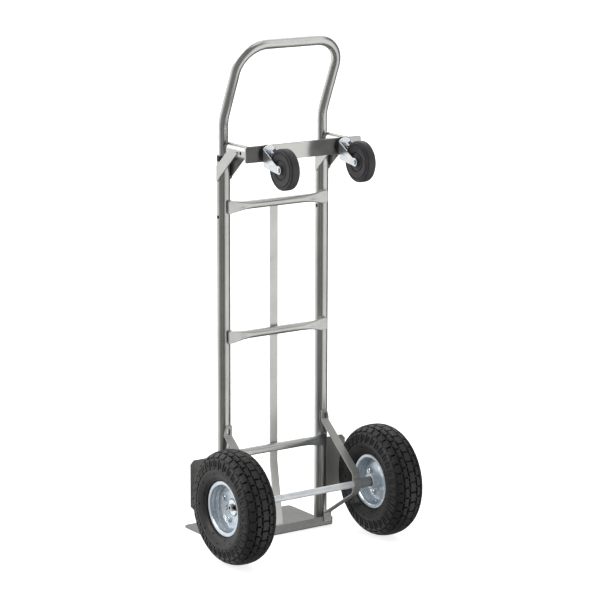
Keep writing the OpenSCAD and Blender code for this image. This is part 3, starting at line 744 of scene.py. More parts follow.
def carcass():
    """Grooved tread floor, sidewalls and beads, hollow inside."""
    outer = [skin(across, -tread_depth(across))
             for across in np.linspace(-SKIN_END, SKIN_END, 172)[::-1]]
    inner_half = [(57.0, BEAD_OFFSET), (55.2, BEAD_OFFSET - 1.6), (55.2, 18.0)]
    inner_half += [wall_point(18 * i, 60, 17.5, TYRE_HALF_WIDTH - 5) for i in range(5, 0, -1)]
    inner = [(radius, -offset) for radius, offset in inner_half]
    inner += [crown_point(-90 + 9 * i, TYRE_R - 10, TYRE_HALF_WIDTH - 5) for i in range(21)]
    return lathe(outer + inner + inner_half[::-1], PITCHES * 4)


def tread_lugs():
    lugs = []
    for k in range(PITCHES):
        block = k * PITCH
        gap = block + PITCH / 2
        # centre row of waisted blocks
        lugs.append(lug(block, 10.2, -6.6, 6.6, (6, 4), near_flare=-1.2, far_flare=1.2))
        for side in (1, -1):
            lugs += [
                # second row, staggered by half a pitch
                lug(gap, 10.2, 11.6, 20.4, (6, 3), near_flare=-1.2, far_flare=0.9, side=side),
                # tie bars that bridge the grooves
                lug(gap, 2.2, 20.4, 26.2, (2, 2), top=-1.1, inset=0.5, side=side),
                lug(block, 2.0, 6.6, 12.4, (2, 2), top=-1.1, inset=0.5, side=side),
                # shoulder row and its tie bar
                lug(block, 10.0, 24.9, 37.4, (6, 4), near_flare=-0.9, far_bulge=0.6,
                    inset=0.8, side=side),
                lug(block, 2.2, 36.0, 44.0, (2, 3), top=-1.4, inset=0.5, side=side),
                # pocketed sidewall lugs
                lug(gap, 9.6, 41.0, 66.0, (8, 10), near_flare=1.2, far_flare=-1.6,
                    skew=0.10, pocket=2.3, inset=0.8, side=side),
            ]
    return lugs


def vent(across, angle):
    """A small round pip standing on the sidewall."""
    def place(height):
        radius, offset = skin(across, height)
        return np.array([radius * math.cos(angle), radius * math.sin(angle), offset])

    depth = tread_depth(across)
    base = place(-depth)
    normal = place(-depth + 0.55) - base
    normal /= np.linalg.norm(normal)
    path = [base + normal * height for height in (-0.6, 0.05, 0.35, 0.45)]
    return sweep(path, 2.1, 14, scale=[1.0, 1.0, 0.8, 0.3])


def vents():
    pips = []
    for side in (1, -1):
        for i in range(9):
            pips.append(vent(side * 76.5, 2 * math.pi * (i + 0.15) / 9))
            if i % 2 == 0:
                pips.append(vent(side * 88.5, 2 * math.pi * (i + 0.5 + 0.15) / 9))
    return pips


# the vent pips take the near-black material, painted shade for the vent dots
tyre = join((*join(carcass(), *tread_lugs())[:2], 0), (*join(*vents())[:2], 1))
for side, hand in SIDES:
    stand_in(hand + "_tyre", "treaded", on_axle(tyre, WHEEL, side), "tyre_rubber vent_black",
             hand + "_wheel", sharp=38)
    dress(hand + "_inner_tube", "inner_tube_rubber")
    dress(hand + "_bearings", "spring_steel")

# ---------------------------------------------------------------- rims, hubs, rim bolts
BOLT_CIRCLE_R, BOLT_ANGLE = 35.0, 25.0
DIMPLE_CIRCLE_R = 38.5

# (radius, height outboard, corner radius)
RIM_CORNERS = [
    (19.5, 0.15, 0.3), (46.8, 0.15, 4.0), (53.6, 7.0, 3.0), (53.8, 15.2, 1.2),
    (55.4, 17.6, 1.2), (55.4, 25.6, 1.5), (58.0, 26.6, 1.0), (61.6, 26.4, 0.5),
    (63.0, 27.3, 0.6), (62.8, 28.5, 0.5), (60.8, 29.0, 1.0), (57.2, 28.9, 1.6),
    (54.4, 27.2, 1.8), (53.3, 24.8, 1.6), (53.2, 18.4, 1.4), (51.5, 15.8, 1.4),
    (51.3, 8.2, 3.0), (47.6, 3.4, 1.4), (46.3, 3.3, 0.6), (45.0, 3.3, 0.6),
    (43.6, 2.1, 0.7), (30.0, 2.1, 0.0), (23.0, 2.1, 0.7), (21.6, 2.7, 0.5),
    (20.4, 2.7, 0.5), (19.5, 2.0, 0.3),
]
HUB_CORNERS = [
    (15.0, -31.5, 0.3), (17.2, -31.5, 0.4), (18.0, -30.7, 0.5), (18.0, -25.6, 0.3),
    (18.5, -25.1, 0.3), (18.5, -24.1, 0.3), (18.0, -23.6, 0.3), (18.0, -10.4, 2.0),
    (19.6, -7.2, 2.0), (23.5, -5.6, 2.0), (28.0, -5.1, 2.0), (43.2, -5.1, 0.5),
    (44.0, -4.5, 0.4), (44.0, -2.9, 0.4), (43.4, -2.25, 0.3), (19.0, -2.25, 0),
    (19.0, -1.0, 0), (18.0, -0.4, 0.2), (18.0, 2.2, 0.3), (17.2, 3.0, 0.4), (15.0, 3.0, 0.3),
]
# (radius, height)
DIMPLE_PROFILE = [(0.0, 2.0), (1.2, 2.0), (1.2, 2.45), (2.0, 2.75), (2.9, 2.6), (3.4, 2.0),
                  (3.4, 1.0), (0.0, 1.0)]
SHANK_PROFILE = [(0.0, -13.0), (3.2, -13.0), (4.0, -12.2), (4.0, 2.3), (0.0, 2.3)]


def four_places(radius, start):
    """Four (x, y) places a quarter turn apart."""
    angles = [math.radians(start + 90 * k) for k in range(4)]
    return [(-radius * math.sin(angle), radius * math.cos(angle)) for angle in angles]


rim = turned(RIM_CORNERS, 128, segments=4)
inner_rim = (rim[0] * np.array([1, 1, -1]), rim[1])
dimples = [moved(lathe(DIMPLE_PROFILE, 28), x, y)
           for x, y in four_places(DIMPLE_CIRCLE_R, BOLT_ANGLE + 45)]
bolt_head = hexagon(7.4, 5.2, turn=12, dish=0.5)
bolt_shank = lathe(SHANK_PROFILE, 28)
rim_nut = hexagon(7.4, 6.4, turn=20, bore=4.05)
bolts, nuts = [], []
for x, y in four_places(BOLT_CIRCLE_R, BOLT_ANGLE):
    bolts += [moved(bolt_head, x, y, 2.15), moved(bolt_shank, x, y)]
    nuts.append(moved(rim_nut, x, y, -11.6))

# (node ending, suffix, part, slot, sharp angle)
WHEEL_PARTS = [
    ("_outer_rim", "pressed", join(rim, *dimples), "zinc_rim", 40),
    ("_inner_rim", "pressed", inner_rim, "zinc_rim", 40),
    ("_hub", "turned", turned(HUB_CORNERS, 96), "zinc_rim", 40),
    ("_rim_bolts", "hex", join(*bolts), "zinc_hardware", 28),
    ("_rim_nuts", "hex", join(*nuts), "zinc_hardware", 28),
]
for side, hand in SIDES:
    for ending, suffix, part, slot, sharp in WHEEL_PARTS:
        material = "zinc_rim_" + hand if slot == "zinc_rim" else slot
        stand_in(hand + ending, suffix, on_axle(part, WHEEL, side), material,
                 hand + "_wheel", sharp)

# ---------------------------------------------------------------- axle washers, cotter pins
axle_washer = turned([(8.1, 3.3, 0.2), (18.4, 3.3, 0.5), (18.4, 5.8, 1.0), (8.1, 5.8, 0.6)], 72)
stand_in("axle_washers", "turned", both_sides(on_axle(axle_washer, WHEEL)), "zinc_hardware",
         "frame", sharp=40)


def cotter_pin():
    """Right-hand pin: two legs with splayed tips, joined by a thicker eye."""
    tilt = math.radians(-12)
    eye_length, eye_height = 7.4, 4.6  # half sizes
    upper, lower = [
        [(-10.5, sign * 0.9), (13.0, sign * 0.9), (15.6, sign * 2.2), (18.0, sign * 4.6)]
        for sign in (1.0, -1.0)]
    eye = [(-10.8 - eye_length + eye_length * math.cos(angle), eye_height * math.sin(angle))
           for angle in np.linspace(0.3, 2 * math.pi - 0.3, 26)]
    path = [(WHEEL[0] + 8.6,
             WHEEL[1] + (y * math.cos(tilt) - z * math.sin(tilt)),
             WHEEL[2] + (y * math.sin(tilt) + z * math.cos(tilt)))
            for y, z in upper[::-1] + eye + lower]
    return sweep(path, 1.25, 14, scale=[1.0] * 4 + [1.65] * len(eye) + [1.0] * 4)


stand_in("cotter_pins", "bent", both_sides(cotter_pin()), "dark_steel", "frame",
         sharp=50)

# ---------------------------------------------------------------- casters
PIN_LENGTH = BEAM_FRONT - box("kingpins")[0][1]

# (radius, height rearward, corner radius)
RACEWAY = [(5.0, 0.0, 0.1), (20.0, 0.0, 0.5), (20.0, 2.2, 0.4), (19.0, 2.5, 0.2),
           (19.0, 3.2, 0.2), (19.8, 3.5, 0.4), (19.4, 4.6, 0.6), (17.6, 5.0, 0.5),
           (5.0, 5.0, 0.1)]
SWIVEL_CUP = [(5.0, 0.0, 0.1), (18.2, 0.0, 0.4), (18.9, 0.8, 0.6), (18.6, 2.0, 0.8),
              (16.6, 4.4, 1.4), (15.2, 5.7, 0.4), (5.0, 5.7, 0.1)]
PIN_WASHER = [(5.0, 0.0, 0.1), (10.5, 0.0, 0.3), (10.5, 2.0, 0.8), (5.0, 2.0, 0.4)]
NUT_COLLAR = [(5.0, 0.0, 0.1), (7.4, 0.0, 0.1), (7.2, 1.2, 0.5), (6.2, 1.7, 0.5),
              (5.0, 1.7, 0.1)]
PIN = [(0.0, 0.0, 0), (4.95, 0.0, 0), (4.95, PIN_LENGTH - 0.8, 0.3), (4.3, PIN_LENGTH, 0.3),
       (3.0, PIN_LENGTH, 0.3), (2.4, PIN_LENGTH - 2.4, 0.5), (0.0, PIN_LENGTH - 2.6, 0)]
RIVET_HEAD = [(0.0, 0.0, 0), (6.4, 0.0, 0.2), (6.2, 1.3, 0.8), (4.8, 2.3, 0.8),
              (2.2, 2.5, 0.5), (1.6, 1.9, 0.4), (0.0, 1.9, 0)]

pin_nut = join(hexagon(9.2, 5.6, turn=10, bore=5.0), moved(turned(NUT_COLLAR, 48), 0, 0, 5.4))
pin_head = mirror_z(hexagon(9.2, 6.4, turn=15, dish=0.6))

# (node, suffix, part, front end, slot, sharp angle)
SWIVEL_PARTS = [
    ("raceways", "pressed", turned(RACEWAY, 80), box("raceways")[1][1], "black_steel", 40),
    ("kingpin_washers", "turned", turned(PIN_WASHER, 48), box("kingpin_washers")[1][1],
     "zinc_hardware", 40),
    ("kingpin_nuts", "turned", pin_nut, box("kingpin_nuts")[1][1], "zinc_hardware", 28),
    ("kingpins", "turned", join(turned(PIN, 40), pin_head), BEAM_FRONT, "zinc_hardware", 28),
]
for node, suffix, part, front, slot, sharp in SWIVEL_PARTS:
    stand_in(node, suffix, both_sides(on_swivel(part, front)), slot, "frame", sharp)


def fork_part():
    """A pressed U of sheet steel: crown, two bends and two tapering, creased legs."""
    thickness, bend_radius = 2.6, 2.6
    leg_x = 15.9  # leg's middle surface
    leg_front = -139.0
    eye_radius = 9.5  # rounded leg end about the roller
    crown_y = box("right_fork")[1][1]
    sheet_y = crown_y - thickness / 2
    eye_y, eye_z = ROLLER[1], ROLLER[2] - SWIVEL_Z
    shares = [0.0, 0.08, 0.25, 0.42, 0.5, 0.58, 0.75, 0.92, 1.0]

    def line(y, start, end):
        return start[1] + (end[1] - start[1]) * (y - start[0]) / (end[0] - start[0])

    def eye_height(y):
        return math.sqrt(max(0.0, eye_radius ** 2 - (y - eye_y) ** 2))

    def top_edge(y):
        if y < eye_y + 4.4:
            return eye_z + eye_height(y)
        return line(y, (crown_y - 3.0, 12.0), (eye_y + 5.0, eye_z + 8.1))

    def low_edge(y):
        if y < eye_y - 2.0:
            return eye_z - eye_height(y)
        return line(y, (leg_front, -26.4), (eye_y - 2.0, eye_z - eye_radius + 0.2))

    def row(x, y, low, high):
        return [(x, y, low + (high - low) * share) for share in shares]

    def leg_row(y):
        low, high = low_edge(y), top_edge(y)
        if y > -140.0:
            low += (y + 140.0) * 2.5
        crease = line(y, (leg_front, -8.0), (eye_y, eye_z + 2.0))
        crease = min(max(crease, low + 0.35 * (high - low)), low + 0.75 * (high - low))
        # below the crease the leg flares outward, more so toward the crown
        fade = min(1.0, max(0.0, (y - (eye_y + 8.0)) / 30.0))
        points = []
        for share in shares:
            if share <= 0.5:
                z = low + (crease - low) * share / 0.5
            else:
                z = crease + (high - crease) * (share - 0.5) / 0.5
            flare = max(0.0, crease - z) * math.tan(math.radians(3)) * fade
            points.append((leg_x + flare, y, z))
        return points

    stations = list(eye_y - eye_radius * np.cos(np.linspace(0.06, math.pi / 2, 9)))
    stations += list(np.linspace(eye_y + 3.0, -140.6, 14)) + [-139.7, -139.2]
    rows = [leg_row(y) for y in stations]
    rows += [row(leg_x, y, -8.6, top_edge(y)) for y in (-138.9, -137.9)]
    for i, degrees in enumerate(np.linspace(0, 90, 6)):
        angle, share = math.radians(degrees), i / 5
        rows.append(row(leg_x - bend_radius + bend_radius * math.cos(angle),
                        sheet_y - bend_radius + bend_radius * math.sin(angle),
                        -8.8 - 6.2 * share, 12.2 + 3.0 * share))
    for x in np.linspace(leg_x - bend_radius - 1.5, 0, 7):
        edge = math.sqrt(21.0 ** 2 - min(x + 2.0, 17) ** 2)
        rows.append(row(x, sheet_y, -edge, edge))
    rows += [[(-x, y, z) for x, y, z in points] for points in rows[-2::-1]]
    return moved(sheet(rows, thickness), ROLLER[0], 0, SWIVEL_Z)


def rivet_part():
    head = moved(turned(RIVET_HEAD, 48, segments=4), 0, 0, 17.2)
    rod = lathe([(0.0, -17.3), (3.98, -17.3), (3.98, 17.3), (0.0, 17.3)], 32)
    return join(head, mirror_z(head), rod)


def roller_part():
    # (radius, depth below the side face, corner radius) from the bore to the running face
    corners = [
        (6.06, -1.4, 0.3), (12.6, -1.4, 0.9), (13.6, 0.8, 0.9), (20.0, 0.7, 0.4),
        (20.5, 2.5, 0.3), (22.0, 2.5, 0.3), (22.5, 0.5, 0.4), (30.0, 0.15, 0), (36.4, 0, 0.4),
        (37.0, 1.9, 0.3), (38.4, 1.9, 0.3), (39.0, 0.2, 0.4), (42.8, 0.9, 0.6),
        (43.6, 3.4, 0.3), (44.6, 3.6, 0.3), (45.4, 3.0, 0.5), (ROLLER_R, 6.5, 0),
    ]
    face = ROLLER_HALF_WIDTH - 1.4
    corners = [(radius, -face + depth, corner) for radius, depth, corner in corners]
    return turned(corners + [(radius, -z, corner) for radius, z, corner in corners[::-1]], 96)


fork, rivet, roller = fork_part(), rivet_part(), roller_part()
cup = turned(SWIVEL_CUP, 72)
cup_front = box("right_swivel_cup")[1][1]
for side, hand in SIDES:
    swivel = hand + "_caster_swivel"
    stand_in(hand + "_fork", "pressed", fork if side > 0 else mirror_x(fork), "zinc_fork",
             swivel, sharp=40, bevel=(0.35, 2, 50))
    stand_in(hand + "_swivel_cup", "pressed", on_swivel(cup, cup_front, side), "black_steel",
             swivel, sharp=40)
    stand_in(hand + "_caster_rivet", "headed", on_axle(rivet, ROLLER, side), "zinc_hardware",
             swivel, sharp=40)
    dress(hand + "_caster_bush", "zinc_hardware")
    stand_in(hand + "_caster_wheel", "moulded", on_axle(roller, ROLLER, side), "caster_rubber",
             hand + "_caster_roller", sharp=45)

# ---------------------------------------------------------------- handle
HANDLE_R, HANDLE_WALL = 11.0, 1.8
KNEE_Z, KNEE_R, CORNER_R = 977.0, 80.0, 68.0
HANDLE_LOW, HANDLE_HIGH = box("handle_tube")
TOP_Z = HANDLE_HIGH[2] - HANDLE_R
TOP_Y = HANDLE_LOW[1] + HANDLE_R
LEAN = math.atan2(-TOP_Y, TOP_Z - KNEE_Z)


def handle_path():
    """Centre line: straight legs, a knee, the leaning part and a square-cornered grip."""
    knee_cut = KNEE_R * math.tan(LEAN / 2)
    lean_length = math.hypot(TOP_Y, TOP_Z - KNEE_Z)
    corner_start = lean_length - CORNER_R

    def leaning(x, distance):
        return (x, -distance * math.sin(LEAN), KNEE_Z + distance * math.cos(LEAN))

    path = [(RAIL_X, 0.0, z) for z in np.linspace(HANDLE_LOW[2], KNEE_Z - knee_cut, 14)]
    for i in range(1, 13):
        angle = LEAN * i / 12
        path.append((RAIL_X, -KNEE_R + KNEE_R * math.cos(angle),
                     KNEE_Z - knee_cut + KNEE_R * math.sin(angle)))
    path += [leaning(RAIL_X, along) for along in np.linspace(knee_cut, corner_start, 7)[1:]]
    for i in range(1, 25):
        angle = math.pi / 2 * i / 24
        path.append(leaning(RAIL_X - CORNER_R + CORNER_R * math.cos(angle),
                            corner_start + CORNER_R * math.sin(angle)))
    path += [leaning(x, lean_length) for x in np.linspace(RAIL_X - CORNER_R, 0, 5)[1:]]
    return path + [(-x, y, z) for x, y, z in path[-2::-1]]


def cut(target, part):
    """Cuts a closed part out of an object and keeps the result as plain mesh."""
    bm = to_bmesh(part)
    bmesh.ops.remove_doubles(bm, verts=bm.verts, dist=1e-7)
    bmesh.ops.recalc_face_normals(bm, faces=bm.faces)
    cutter_mesh = bpy.data.meshes.new("cutter")
    bm.to_mesh(cutter_mesh)
    bm.free()
    cutter = bpy.data.objects.new("cutter", cutter_mesh)
    scene.collection.objects.link(cutter)
    modifier = target.modifiers.new("cut", "BOOLEAN")
    modifier.operation = "DIFFERENCE"
    modifier.solver = "EXACT"
    modifier.object = cutter
    depsgraph = bpy.context.evaluated_depsgraph_get()
    result = bpy.data.meshes.new_from_object(target.evaluated_get(depsgraph))
    target.modifiers.clear()
    old = target.data
    target.data = result
    result.shade_smooth()
    result.set_sharp_from_angle(angle=math.radians(45))
    bpy.data.objects.remove(cutter)
    bpy.data.meshes.remove(cutter_mesh)
    if old.users == 0:
        bpy.data.meshes.remove(old)


def button_hole():
    """A rod along X through the outboard wall of the right leg, at the snap button."""
    height = middle_and_half("right_snap_button")[0][2]
    points = [(x, y, height + z) for x in (RAIL_X + 7.0, RAIL_X + 14)
              for y, z in circle(4.0, 32)]
    return np.array(points), end_caps(2, 32) + ring_faces(2, 32)


handle = stand_in("handle_tube", "bent",
                  pipe(handle_path(), HANDLE_R, HANDLE_R - HANDLE_WALL, 48),
                  "handle_paint", "handle", sharp=50)
cut(handle, both_sides(button_hole()))
refine("snap_springs", "spring_steel", width=0.15, segments=1)
# the snap buttons are dressed near-black: painted shade for the holes they sit in
refine("left_snap_button", "dark_steel", width=0.3, segments=2)
refine("right_snap_button", "dark_steel", width=0.3, segments=2)

# ---------------------------------------------------------------- crossbars
BAR_R = 9.5
FLAT_HALF = 1.6  # half thickness of the flattened end
BAR_SIDES = 56


def crossbar_part(node):
    """A round tube whose ends are flattened, spread in height and pinched in the middle."""
    low, high = box(node)
    centre, half = middle_and_half(node)
    end = high[0]
    round_y = -(RAIL_R - 1.5)
    flat_y = low[1] + FLAT_HALF
    stations = list(np.linspace(0, end - 66, 6)) + list(np.linspace(end - 62, end - 12, 26))
    stations += [end - 8, end - 4, end - 0.6, end]
    rings = []
    for x in stations:
        flatness = ease(end - 66, end - 13, x)
        half_height = BAR_R + (half[2] - BAR_R) * ease(end - 52, end - 2, x) ** 1.2
        half_depth = BAR_R + (FLAT_HALF - BAR_R) * flatness
        y = round_y + (flat_y - round_y) * flatness
        pinch = 0.42 * math.exp(-(((x - (end - 34)) / 17.0) ** 2))
        shrink = 1.0 if x < end - 0.5 else 0.96
        ring = []
        for k in range(BAR_SIDES):
            angle = 2 * math.pi * k / BAR_SIDES
            cosine, sine = math.cos(angle), math.sin(angle)
            rise = half_height * math.copysign(abs(sine) ** (1.0 - 0.35 * flatness), sine)
            reach = math.copysign(abs(cosine) ** (1.0 - 0.45 * flatness), cosine)
            dent = 1.0 - pinch * math.exp(-((rise / (0.42 * half_height)) ** 2))
            ring.append((x, y + half_depth * reach * dent, centre[2] + rise * shrink))
        rings.append(ring)
    rings = [[(-x, y, z) for x, y, z in ring] for ring in rings[:0:-1]] + rings
    faces = ring_faces(len(rings), BAR_SIDES) + end_caps(len(rings), BAR_SIDES)
    return np.array(rings).reshape(-1, 3), faces


for node in CROSSBARS:
    stand_in(node, "formed", crossbar_part(node), "frame_paint", "frame",
             sharp=48)

# ---------------------------------------------------------------- softened CAD shapes
# (node, material, edge width, segments)
for entry in (
    ("centre_strap", "frame_paint", 0.7, 2),
    # the wheel guards take a darkened copy of the silver paint as painted shade
    ("left_wheel_guard", "shaded_guard_paint", 0.6, 2), ("right_wheel_guard", "shaded_guard_paint", 0.6, 2),
    # the axle brackets and, below, the axle spacers take a darkened copy of the silver paint as
    # painted shade
    ("left_axle_bracket", "shaded_arm_paint", 0.5, 2), ("right_axle_bracket", "shaded_arm_paint", 0.5, 2),
    ("left_gussets", "frame_paint", 0.6, 2), ("right_gussets", "frame_paint", 0.6, 2),
    ("caster_beam", "beam_paint", 0.8, 2),
    ("rail_collars", "black_plastic", 0.9, 3), ("socket_collars", "black_plastic", 0.9, 3),
    ("axle", "zinc_axle", 0.3, 2), ("axle_spacers", "shaded_arm_paint", 0.5, 2),
    ("left_rail", "frame_paint", 0.3, 1), ("right_rail", "frame_paint", 0.3, 1),
    ("left_socket_tube", "frame_paint", 0.3, 1), ("right_socket_tube", "frame_paint", 0.3, 1),
):
    refine(*entry)


# ---------------------------------------------------------------- toe plate
def toe_plate_part():
    """One bent sheet: a plate with rounded front corners and an upright lip at the rear."""
    thickness, bend_radius, corner = 4.0, 4.0, 10.0
    low, high = box("toe_plate")
    front, half_width = high[1], high[0]
    lip_y, plate_z = low[1] + thickness / 2, thickness / 2
    shares = list(np.linspace(0, 0.90, 10)) + [0.93, 0.955, 0.975, 0.99, 1.0]
    shares = [-share for share in shares[:0:-1]] + shares

    def half_width_at(y):
        if y <= front - corner:
            return half_width
        inward = math.sqrt(max(0.0, corner * corner - (y - front + corner) ** 2))
        return half_width - (corner - inward)

    stations = [front - corner + corner * math.sin(math.radians(degrees))
                for degrees in (90, 84, 76, 66, 54, 40, 22, 0)]
    stations += list(np.linspace(front - corner - 8, lip_y + bend_radius, 16))
    rows = [[(half_width_at(y) * share, y, plate_z) for share in shares] for y in stations]
    for degrees in np.linspace(0, 90, 7)[1:]:
        y = lip_y + bend_radius - bend_radius * math.sin(math.radians(degrees))
        z = plate_z + bend_radius - bend_radius * math.cos(math.radians(degrees))
        rows.append([(half_width * share, y, z) for share in shares])
    lip_start = plate_z + bend_radius
    for rise in (0.25, 0.5, 0.75, 0.9, 1.0):
        row = []
        for share in shares:
            drop = 4.0 * ease(half_width - 7, half_width + 1, abs(share) * half_width)
            lip_end = high[2] - drop
            row.append((share * half_width, lip_y, lip_start + (lip_end - lip_start) * rise))
        rows.append(row)
    return sheet(rows, thickness)


# the toe plate takes the darkened copy of the silver paint as painted shade
stand_in("toe_plate", "bent", toe_plate_part(), "plate_paint", "frame",
         sharp=35, bevel=(0.7, 2, 55))


# ---------------------------------------------------------------- weld beads
def weld_bead(path, radius, seed):
    """A rippled bead that tapers at both ends."""
    ripple_pitch = 2.2
    path = np.asarray(path, float)
    lengths = np.r_[0, np.cumsum(np.linalg.norm(np.diff(path, axis=0), axis=1))]
    total = lengths[-1]
    count = max(6, int(total / 0.45))
    along = np.linspace(0, total, count)
    points = np.stack([np.interp(along, lengths, path[:, k]) for k in range(3)], -1)
    rng = np.random.default_rng(seed)
    scale = 0.86 + 0.16 * np.abs(np.sin(along * math.pi / ripple_pitch))
    scale = scale + 0.05 * rng.standard_normal(count)
    scale *= np.clip(np.minimum(along, total - along) / (1.2 * radius) + 0.35, 0.35, 1.0)
    return sweep(points, radius, 12, scale=np.clip(scale, 0.3, 1.25))


beads = []  # right-hand beads; each one's place in the list is its seed


def bead(radius, *path):
    beads.append(weld_bead(path, radius, seed=len(beads)))


# crossbar ends on the rail, and the centre strap on the crossbars
strap_x = box("centre_strap")[1][0] + 0.4
for node in CROSSBARS:
    low, high = box(node)
    x, y = high[0], low[1] + 2.0
    bead(1.5, (x + 0.6, y, low[2] + 1.0), (x + 0.6, y, high[2] - 1.0))
    for z in (high[2] + 0.3, low[2] - 0.3):
        bead(1.3, (x - 12.0, -RAIL_R * 0.98, z), (x - 5, -RAIL_R - 0.6, z),
             (x, -RAIL_R - 0.8, z))
    z = (low[2] + high[2]) / 2
    strap_path = [(strap_x, -6.2, z - 7.0), (strap_x, -4.6, z), (strap_x, -6.2, z + 7.0)]
    bead(1.2, *(strap_path[:2] if node == "top_crossbar" else strap_path))

# gussets: the top edge on the socket tube, and the lower tip on the rail
low, high = box("right_gussets")
for x in (high[0] - 1.2, low[0] + 1.2):
    sign = 1 if x > RAIL_X else -1
    bead(1.3, (x, -80.0, SWIVEL_Z + 0.9), (x, -46.0, SWIVEL_Z + 0.9))
    bead(1.4, (x, -10.6, 850.0), (x, 1.6, 841.2))
    bead(1.2, (RAIL_X + sign * (RAIL_R - 1.2), -10.5, 853.0),
         (RAIL_X + sign * (RAIL_R + 0.3), -1.0, 843.6))

# socket tube on the caster beam
for start, end in ((200, 340), (20, 160)):
    bead(1.4, *[(RAIL_X + 15.6 * math.cos(angle), BEAM_FRONT + 0.9,
                 SWIVEL_Z + 15.6 * math.sin(angle))
                for angle in np.radians(np.linspace(start, end, 22))])

# axle bracket on the rail
bracket_low, bracket_high = box("right_axle_bracket")
for x in (bracket_low[0] + 0.3, bracket_high[0] - 0.3):
    top_z = bracket_high[2] - (2.0 if x < RAIL_X else 21.0)
    bead(1.4, (x, -RAIL_R + 2.8, top_z), (x, -RAIL_R + 2.8, bracket_high[2] - 27.0))

# wheel guard on the rail
low, high = box("right_wheel_guard")
for z in (high[2] - 14.0, (high[2] + low[2]) / 2, low[2] + 14.0):
    bead(1.6, (RAIL_X + 7.4, RAIL_R - 1.0, z - 9.0), (RAIL_X + 7.4, RAIL_R - 1.0, z + 9.0))

# rail foot on the toe plate
bead(1.5, *[(RAIL_X + (RAIL_R + 0.5) * math.cos(angle), (RAIL_R + 0.5) * math.sin(angle), 4.6)
            for angle in np.radians(np.linspace(-30, 210, 40))])

# axle bracket on the toe plate's lip, and the middle of the lip's top edge
low, high = box("toe_plate")
for x in (bracket_low[0] + 0.6, bracket_high[0] - 0.6):
    bead(1.3, (x, low[1] - 0.6, 23.4), (x, low[1] - 0.6, 14.0))
bead(1.3, (bracket_low[0] + 1.0, low[1] - 1.2, 12.8), (bracket_high[0] - 1.0, low[1] - 1.2, 12.8))
lip_bead = weld_bead([(x, low[1] - 0.3, high[2] + 0.4) for x in (-10.0, 10.0)], 1.3, seed=91)
piece("weld_beads", join(both_sides(join(*beads)[:2]), lip_bead), "frame_paint", "frame",
      sharp=60)


# ---------------------------------------------------------------- floor
def floor_material():
    """Near-white, lifted by a glow that only the camera sees."""
    shader = Shader("studio_floor")
    clouds = shader.fade(shader.noise(scale=3.0), start=0.3, end=0.7)
    shader.set("Base Color", shader.mix(clouds, (0.90, 0.90, 0.90), (0.915, 0.915, 0.91)))
    camera_ray = shader.add("LightPath").outputs["Is Camera Ray"]
    shader.set("Emission Strength", shader.calc("MULTIPLY", camera_ray, 0.80))
    shader.set("Emission Color", (1, 1, 1, 1))
    shader.set("Roughness", 0.9)
    shader.set("Specular IOR Level", 0.1)
    return shader.material


floor_look = floor_material()
floor_mesh = bpy.data.meshes.new("studio_floor")
bm = bmesh.new()
bmesh.ops.create_grid(bm, x_segments=8, y_segments=8, size=40.0)
bm.to_mesh(floor_mesh)
bm.free()
floor_mesh.materials.append(floor_look)
floor = bpy.data.objects.new("studio_floor", floor_mesh)
floor.location = (0, 0, -0.0006)
floor.visible_glossy = False
scene.collection.objects.link(floor)

# ---------------------------------------------------------------- world, in degrees
CAMERA_AZIMUTH, CAMERA_ELEVATION, CAMERA_ROLL = -34.46, 12.21, 0.18
AMBIENT = 0.15


def toward(azimuth, elevation):
    """Direction at azimuth degrees round from the camera's and elevation above the horizon."""
    around = math.radians(CAMERA_AZIMUTH + azimuth)
    up = math.radians(elevation)
    return Vector((math.sin(around) * math.cos(up), -math.cos(around) * math.cos(up),
                   math.sin(up)))


